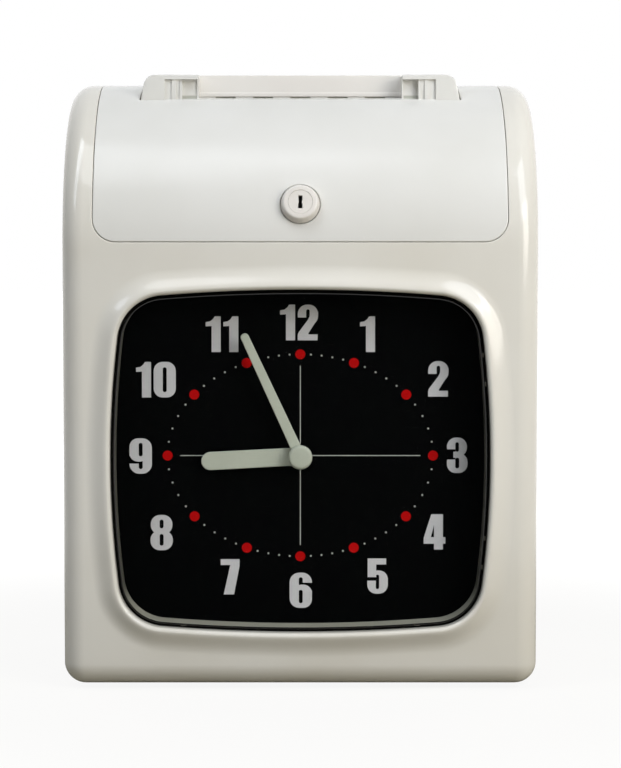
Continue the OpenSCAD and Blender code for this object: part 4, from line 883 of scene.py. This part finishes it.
def buildLens():
    form = Form()
    flange, bevel, seat = lens["flange"], lens["bevel"], lens["seat"]
    section = [(grow, lens["front"] + y) for grow, y in lens["edge"]] + [(lens["edge"][-1][0], seat)]
    section += [(flange - bevel, seat), (flange, seat + bevel)]
    section += [(flange, lens["back"]), (lens["hollow"], lens["back"])]
    rows = [form.put(ringAt(*row)) for row in section]
    for i, (a, b) in enumerate(zip(rows, rows[1:])):
        form.bridge(a, b, 1 if i < len(lens["edge"]) - 1 else 0)
    form.face(rows[0][::-1])
    form.face(rows[-1])
    (y0, y1), (wide, tall) = tabs["sideY"], tabs["side"]
    for dz in tabs["sideAt"]:  # snap tabs that show in the gap
        x = window["halfW"] - window["sideR"] + sqrt((window["sideR"] - tabs["inset"]) ** 2 - dz ** 2)
        box(form, (x - wide, y0, window["z"] + dz - tall), (x + wide, y1, window["z"] + dz + tall), 2)
    (y0, y1), (wide, tall) = tabs["lowY"], tabs["low"]
    for x in tabs["lowAt"]:
        reach = sqrt((window["topR"] - tabs["inset"]) ** 2 - x ** 2)
        z = window["z"] - window["halfH"] + window["topR"] - reach
        box(form, (x - wide, y0, z - tall), (x + wide, y1, z + tall), 2)
    finishes = [finish["clear_lens"], trim["lensEdge"], trim["wellGrey"]]
    form.piece("lensShell", "case", "clear_lens", ["window_lens"], finishes)


# Dial print: numbers, dots and cross lines on the dial's face
dial = dict(y=dialAt.y, z=dialAt.z, ovalX=55.6, ovalZ=42.5, redR=2.1, whiteR=0.38, line=0.34, upLine=37.7,
            sideLine=50.3, ink=0.06, sink=0.02, height=14.9, digitGap=0.075)
numberAt = {12: (-0.5, 55.8), 1: (28.1, 50.9), 2: (57.75, 32.2), 3: (65.8, 0.1), 4: (56.4, -32.2),
            5: (32.5, -50.9), 6: (0.2, -56.9), 7: (-29.5, -51.2), 8: (-58.25, -32.5), 9: (-66.9, -0.2),
            10: (-60.4, 31.85), 11: (-32.7, 50.9)}


def digitShapes():  # each digit in a box one high, built up of shapes added and taken away in order
    six = [(1, roundRect(0, 0, 0.63, 1, 0.27)), (0, roundRect(0.26, 0.13, 0.37, 0.87, 0.055)),
           (0, boxLoop(0.36, 0.5, 0.8, 0.715)), (1, roundRect(0.1, 0, 0.63, 0.66, 0.24)),
           (1, boxLoop(0, 0.27, 0.26, 0.7)), (0, roundRect(0.26, 0.13, 0.37, 0.51, 0.055))]
    nine = [(k, [(0.63 - x, 1 - y) for x, y in loop]) for k, loop in six]
    return {
        "0": (0.62, [(1, roundRect(0, 0, 0.62, 1, 0.25)), (0, roundRect(0.255, 0.15, 0.365, 0.85, 0.055))]),
        "1": (0.42, [(1, [(0.165, 0), (0.42, 0), (0.42, 1), (0.25, 1), (0.21, 0.93), (0.12, 0.86), (0, 0.84),
                          (0, 0.72), (0.165, 0.73)])]),
        "2": (0.57, [(1, roundRect(0, 0.42, 0.57, 1, 0.26)), (0, roundRect(0.235, 0.5, 0.335, 0.87, 0.05)),
                     (0, boxLoop(-0.1, 0.3, 0.45, 0.64)),
                     (1, [(0.335, 0.8), (0.57, 0.8), (0.57, 0.7), (0.54, 0.58), (0.3, 0.2), (0.3, 0.1),
                          (0, 0.1), (0, 0.16), (0.02, 0.22), (0.29, 0.58), (0.335, 0.68)]),
                     (1, boxLoop(0, 0, 0.555, 0.165))]),
        "3": (0.58, [(1, roundRect(0, 0.46, 0.56, 1, 0.25)), (1, roundRect(0, 0, 0.58, 0.56, 0.25)),
                     (0, roundRect(0.235, 0.6, 0.335, 0.87, 0.05)),
                     (0, roundRect(0.235, 0.13, 0.345, 0.43, 0.05)), (0, boxLoop(-0.1, 0.38, 0.24, 0.67)),
                     (1, boxLoop(0.18, 0.43, 0.36, 0.6))]),
        "4": (0.61, [(1, boxLoop(0.29, 0, 0.54, 1)), (1, boxLoop(0, 0.165, 0.61, 0.35)),
                     (1, [(0, 0.33), (0.3, 0.33), (0.4, 1), (0.21, 1)]),
                     (0, [(0.2, 0.35), (0.29, 0.35), (0.29, 0.7)])]),
        "5": (0.58, [(1, roundRect(0, 0, 0.58, 0.66, 0.25)), (0, roundRect(0.24, 0.13, 0.335, 0.54, 0.047)),
                     (0, boxLoop(-0.1, 0.37, 0.24, 0.9)), (1, boxLoop(0.01, 0.47, 0.25, 1)),
                     (1, boxLoop(0.01, 0.83, 0.53, 1))]),
        "6": (0.63, six),
        "7": (0.53, [(1, boxLoop(0, 0.835, 0.53, 1)),
                     (1, [(0.085, 0), (0.375, 0), (0.53, 0.8), (0.53, 0.9), (0.27, 0.9), (0.27, 0.84)])]),
        "8": (0.63, [(1, roundRect(0.01, 0.45, 0.62, 1, 0.26)), (1, roundRect(0, 0, 0.63, 0.56, 0.26)),
                     (0, roundRect(0.26, 0.62, 0.37, 0.87, 0.055)),
                     (0, roundRect(0.26, 0.13, 0.37, 0.46, 0.055))]),
        "9": (0.63, nine),
    }


def inked(form, shapes, spot):  # a thin layer where the shapes leave ink, laid on the dial through spot(x, y)
    points, edges = [], []
    for _, loop in shapes:
        edges += edgesOf(loop, len(points))
        points += loop
    spots, _, faces, _, _, _ = delaunay_2d_cdt([Vector(p) for p in points], edges, [], 0, 1e-5)
    spots = [(p.x, p.y) for p in spots]
    centres = np.array([np.mean([spots[i] for i in f], axis=0) for f in faces])
    ink = np.zeros(len(faces), bool)
    for kind, loop in shapes:
        ink[within(centres, [loop])] = bool(kind)
    used = [f for f, k in zip(faces, ink) if k]
    laid = [spot(*p) for p in spots]
    under = form.put([(x, dial["y"] + dial["sink"], z) for x, z in laid])
    over = form.put([(x, dial["y"] - dial["ink"], z) for x, z in laid])
    owned = {}
    for f in used:
        form.face([over[i] for i in f])
        form.face([under[i] for i in f[::-1]])
        for a, b in zip(f, f[1:] + f[:1]):
            owned[(a, b)] = True
    for a, b in owned:
        if (b, a) not in owned:
            form.face((over[a], under[a], under[b], over[b]))


def buildDialPrint():
    digits = digitShapes()
    form = Form()
    high, gap = dial["height"], dial["digitGap"]
    for hour, (cx, cz) in numberAt.items():
        number = str(hour)
        left = -(sum(digits[c][0] for c in number) + gap * (len(number) - 1)) / 2
        for c in number:
            width, shapes = digits[c]
            inked(form, shapes, lambda x, z: (cx + (left + x) * high, dial["z"] + cz + (z - 0.5) * high))
            left += width + gap
    form.piece("dialNumbers", "case", "dial_black", finishes=[trim["numberPaint"]])
    red, white = Form(), Form()
    for minute in range(60):  # dots on an oval, red at the hours
        a = radians(6 * minute)
        reach = 1 / hypot(sin(a) / dial["ovalX"], cos(a) / dial["ovalZ"])
        cx, cz = reach * sin(a), reach * cos(a)
        ink, r, steps = (white, dial["whiteR"], 12) if minute % 5 else (red, dial["redR"], 28)
        inked(ink, [(1, circle(0, 0, r, steps))], lambda x, z: (cx + x, dial["z"] + cz + z))
    for w, h in ((dial["line"] / 2, dial["upLine"]), (dial["sideLine"], dial["line"] / 2)):
        inked(white, [(1, boxLoop(-w, -h, w, h))], lambda x, z: (x, dial["z"] + z))
    red.piece("dialDots", "case", "dial_black", finishes=[trim["dotRed"]])
    white.piece("dialMinutes", "case", "dial_black", finishes=[trim["dotWhite"]])


hands = dict(hour=dict(length=41.4, root=3.7, hub=3.7, tip=3.8, turn=267.0, y=-49.3),
             minute=dict(length=56.6, root=2.2, hub=4.2, tip=1.72, turn=335.2, y=-52.0),
             thick=1.2, edge=0.3, bore=1.6, capR=5.0, capY=-53.2, capHigh=2.8,
             cap=((0.2, 0), (0, 0.2), (0, 1.7), (0.25, 2.25), (0.7, 2.6), (1.3, 2.75)))  # (in, height)


def buildHands():
    for body, node in (("hour", "hour_hand"), ("minute", "minute_hand")):
        h = hands[body]
        a = radians(h["turn"])
        end = h["length"] - h["tip"]
        lean = asin(min(1.0, h["root"] / h["hub"])) * 180 / pi  # where the arm leaves the hub
        loop = arcPoints(end, 0, h["tip"], -90, 90, 18) + arcPoints(0, 0, h["hub"], lean, 360 - lean, 24)
        bore = circle(0, 0, hands["bore"], 24)[::-1]

        def laid(u, v, w):
            return u * sin(a) - v * cos(a), h["y"] - w, dial["z"] + u * cos(a) + v * sin(a)

        form = Form()
        plate(form, [loop, bore], 0.0, hands["thick"], laid, (), hands["edge"], 3)
        form.piece(body + "Hand", body, "hand_paint", [node])
    form = Form()
    profile = [(0, 0)] + [(hands["capR"] - d, h) for d, h in hands["cap"]] + [(0, hands["capHigh"])]
    turned(form, profile, placed((0, hands["capY"], dial["z"]), pi / 2, "X"), 56)
    form.piece("handCap", "minute", "hand_paint", ["hand_cap"])


buildFrontCase()
print("front shell built")
buildLid()
print("lid built")
buildLock()
buildThroat()
buildLens()
print("lock, throat and lens built")
buildDialPrint()
buildHands()
print("dial print and hands built")

studio = dict(floor=(148, 144, 132), floorHalf=6, floorFront=-4, near=0.16, far=0.62, keep=0.22, glow=1.16,
              sky=0.06, ground=0.03, horizon=(-0.3, 0.9), aim=0.13)
lamps = dict(
    keyLamp=dict(power=6.5, size=(0.6, 0.85), az=38, el=38, far=1.25, tint=(0.94, 1.0, 1.09)),
    lowLamp=dict(power=4.75, size=(0.5, 0.5), az=48, el=15, far=1.05, tint=(1.04, 1.0, 0.93)),
    leftLamp=dict(power=4.2, size=(0.8, 0.6), az=-34, el=60, far=1.25, tint=(0.97, 1.0, 1.05)),
    sideLamp=dict(power=3.8, size=(0.3, 1.1), az=-54, el=48, far=1.25, tint=(0.93, 1.0, 1.11)),
    backRight=dict(power=8.0, size=(0.8, 0.8), az=140, el=16, far=1.5, tint=(1.0, 1.0, 1.0)),
    backLeft=dict(power=8.0, size=(0.8, 0.8), az=-140, el=16, far=1.5, tint=(1.0, 1.0, 1.0)),
)


def backgroundRays(p):  # the camera's rays, and those that reach the background by way of gloss or glass
    kinds = ("Is Camera Ray", "Is Glossy Ray", "Is Transmission Ray")
    camera, gloss, glass = [p.add("ShaderNodeLightPath", out=kind) for kind in kinds]
    return camera, gloss + glass


def buildWorld():
    bpy.context.scene.world = bpy.data.worlds.new("studioWorld")
    p = Paint("studioWorld", None, bpy.context.scene.world)
    height = p.add("ShaderNodeSeparateXYZ", {}, {0: p.place}, 2)
    ground, sky, white = [p.add("ShaderNodeBackground", {}, {"Color": (1, 1, 1, 1), "Strength": strength})
                          for strength in (studio["ground"], studio["sky"], 1.0)]
    soft = p.add("ShaderNodeMixShader", {}, {0: height.stretch(*studio["horizon"]), 1: ground, 2: sky})
    camera, other = backgroundRays(p)
    p.done(p.add("ShaderNodeMixShader", {}, {0: camera + other, 1: soft, 2: white}))


def buildFloor():
    p = Paint("paleFloor", tone(*studio["floor"]))
    shade = p.add("ShaderNodeBsdfDiffuse", {}, {"Color": tone(*studio["floor"])})
    glow = p.add("ShaderNodeEmission", {}, {"Color": (1, 1, 1, 1), "Strength": studio["glow"]})
    reach = p.add("ShaderNodeVectorMath", dict(operation="LENGTH"), {0: p.place}, "Value")
    bare = reach.stretch(studio["near"], studio["far"])
    camera, other = backgroundRays(p)
    keep, half = studio["keep"], studio["floorHalf"]
    seen = camera * (1 - keep + keep * bare) + other * bare  # the shadow is kept near the object
    mesh = bpy.data.meshes.new("floor")
    corners = boxLoop(-half, studio["floorFront"], half, half)
    mesh.from_pydata([(x, y, 0) for x, y in corners], [], [(0, 1, 2, 3)])
    mesh.materials.append(p.done(p.add("ShaderNodeMixShader", {}, {0: seen, 1: shade, 2: glow})))
    floor = added("floor", mesh)


def buildLamps():
    aim = Vector((0, 0, studio["aim"]))
    for name, lamp in lamps.items():
        data = bpy.data.lights.new(name, "AREA")
        data.shape, data.energy, data.color = "RECTANGLE", lamp["power"], lamp["tint"]
        data.size, data.size_y = lamp["size"]
        az, el = radians(lamp["az"]), radians(lamp["el"])
        item = added(name, data)
        item.location = aim + lamp["far"] * Vector((cos(el) * sin(az), -cos(el) * cos(az), sin(el)))
        item.rotation_euler = (aim - item.location).to_track_quat("-Z", "Y").to_euler()
        item.visible_glossy = abs(lamp["az"]) < 90  # the back lamps only fill


buildWorld()
buildFloor()
buildLamps()
bpy.context.scene.view_settings.view_transform = "Standard"
print("studio lit")
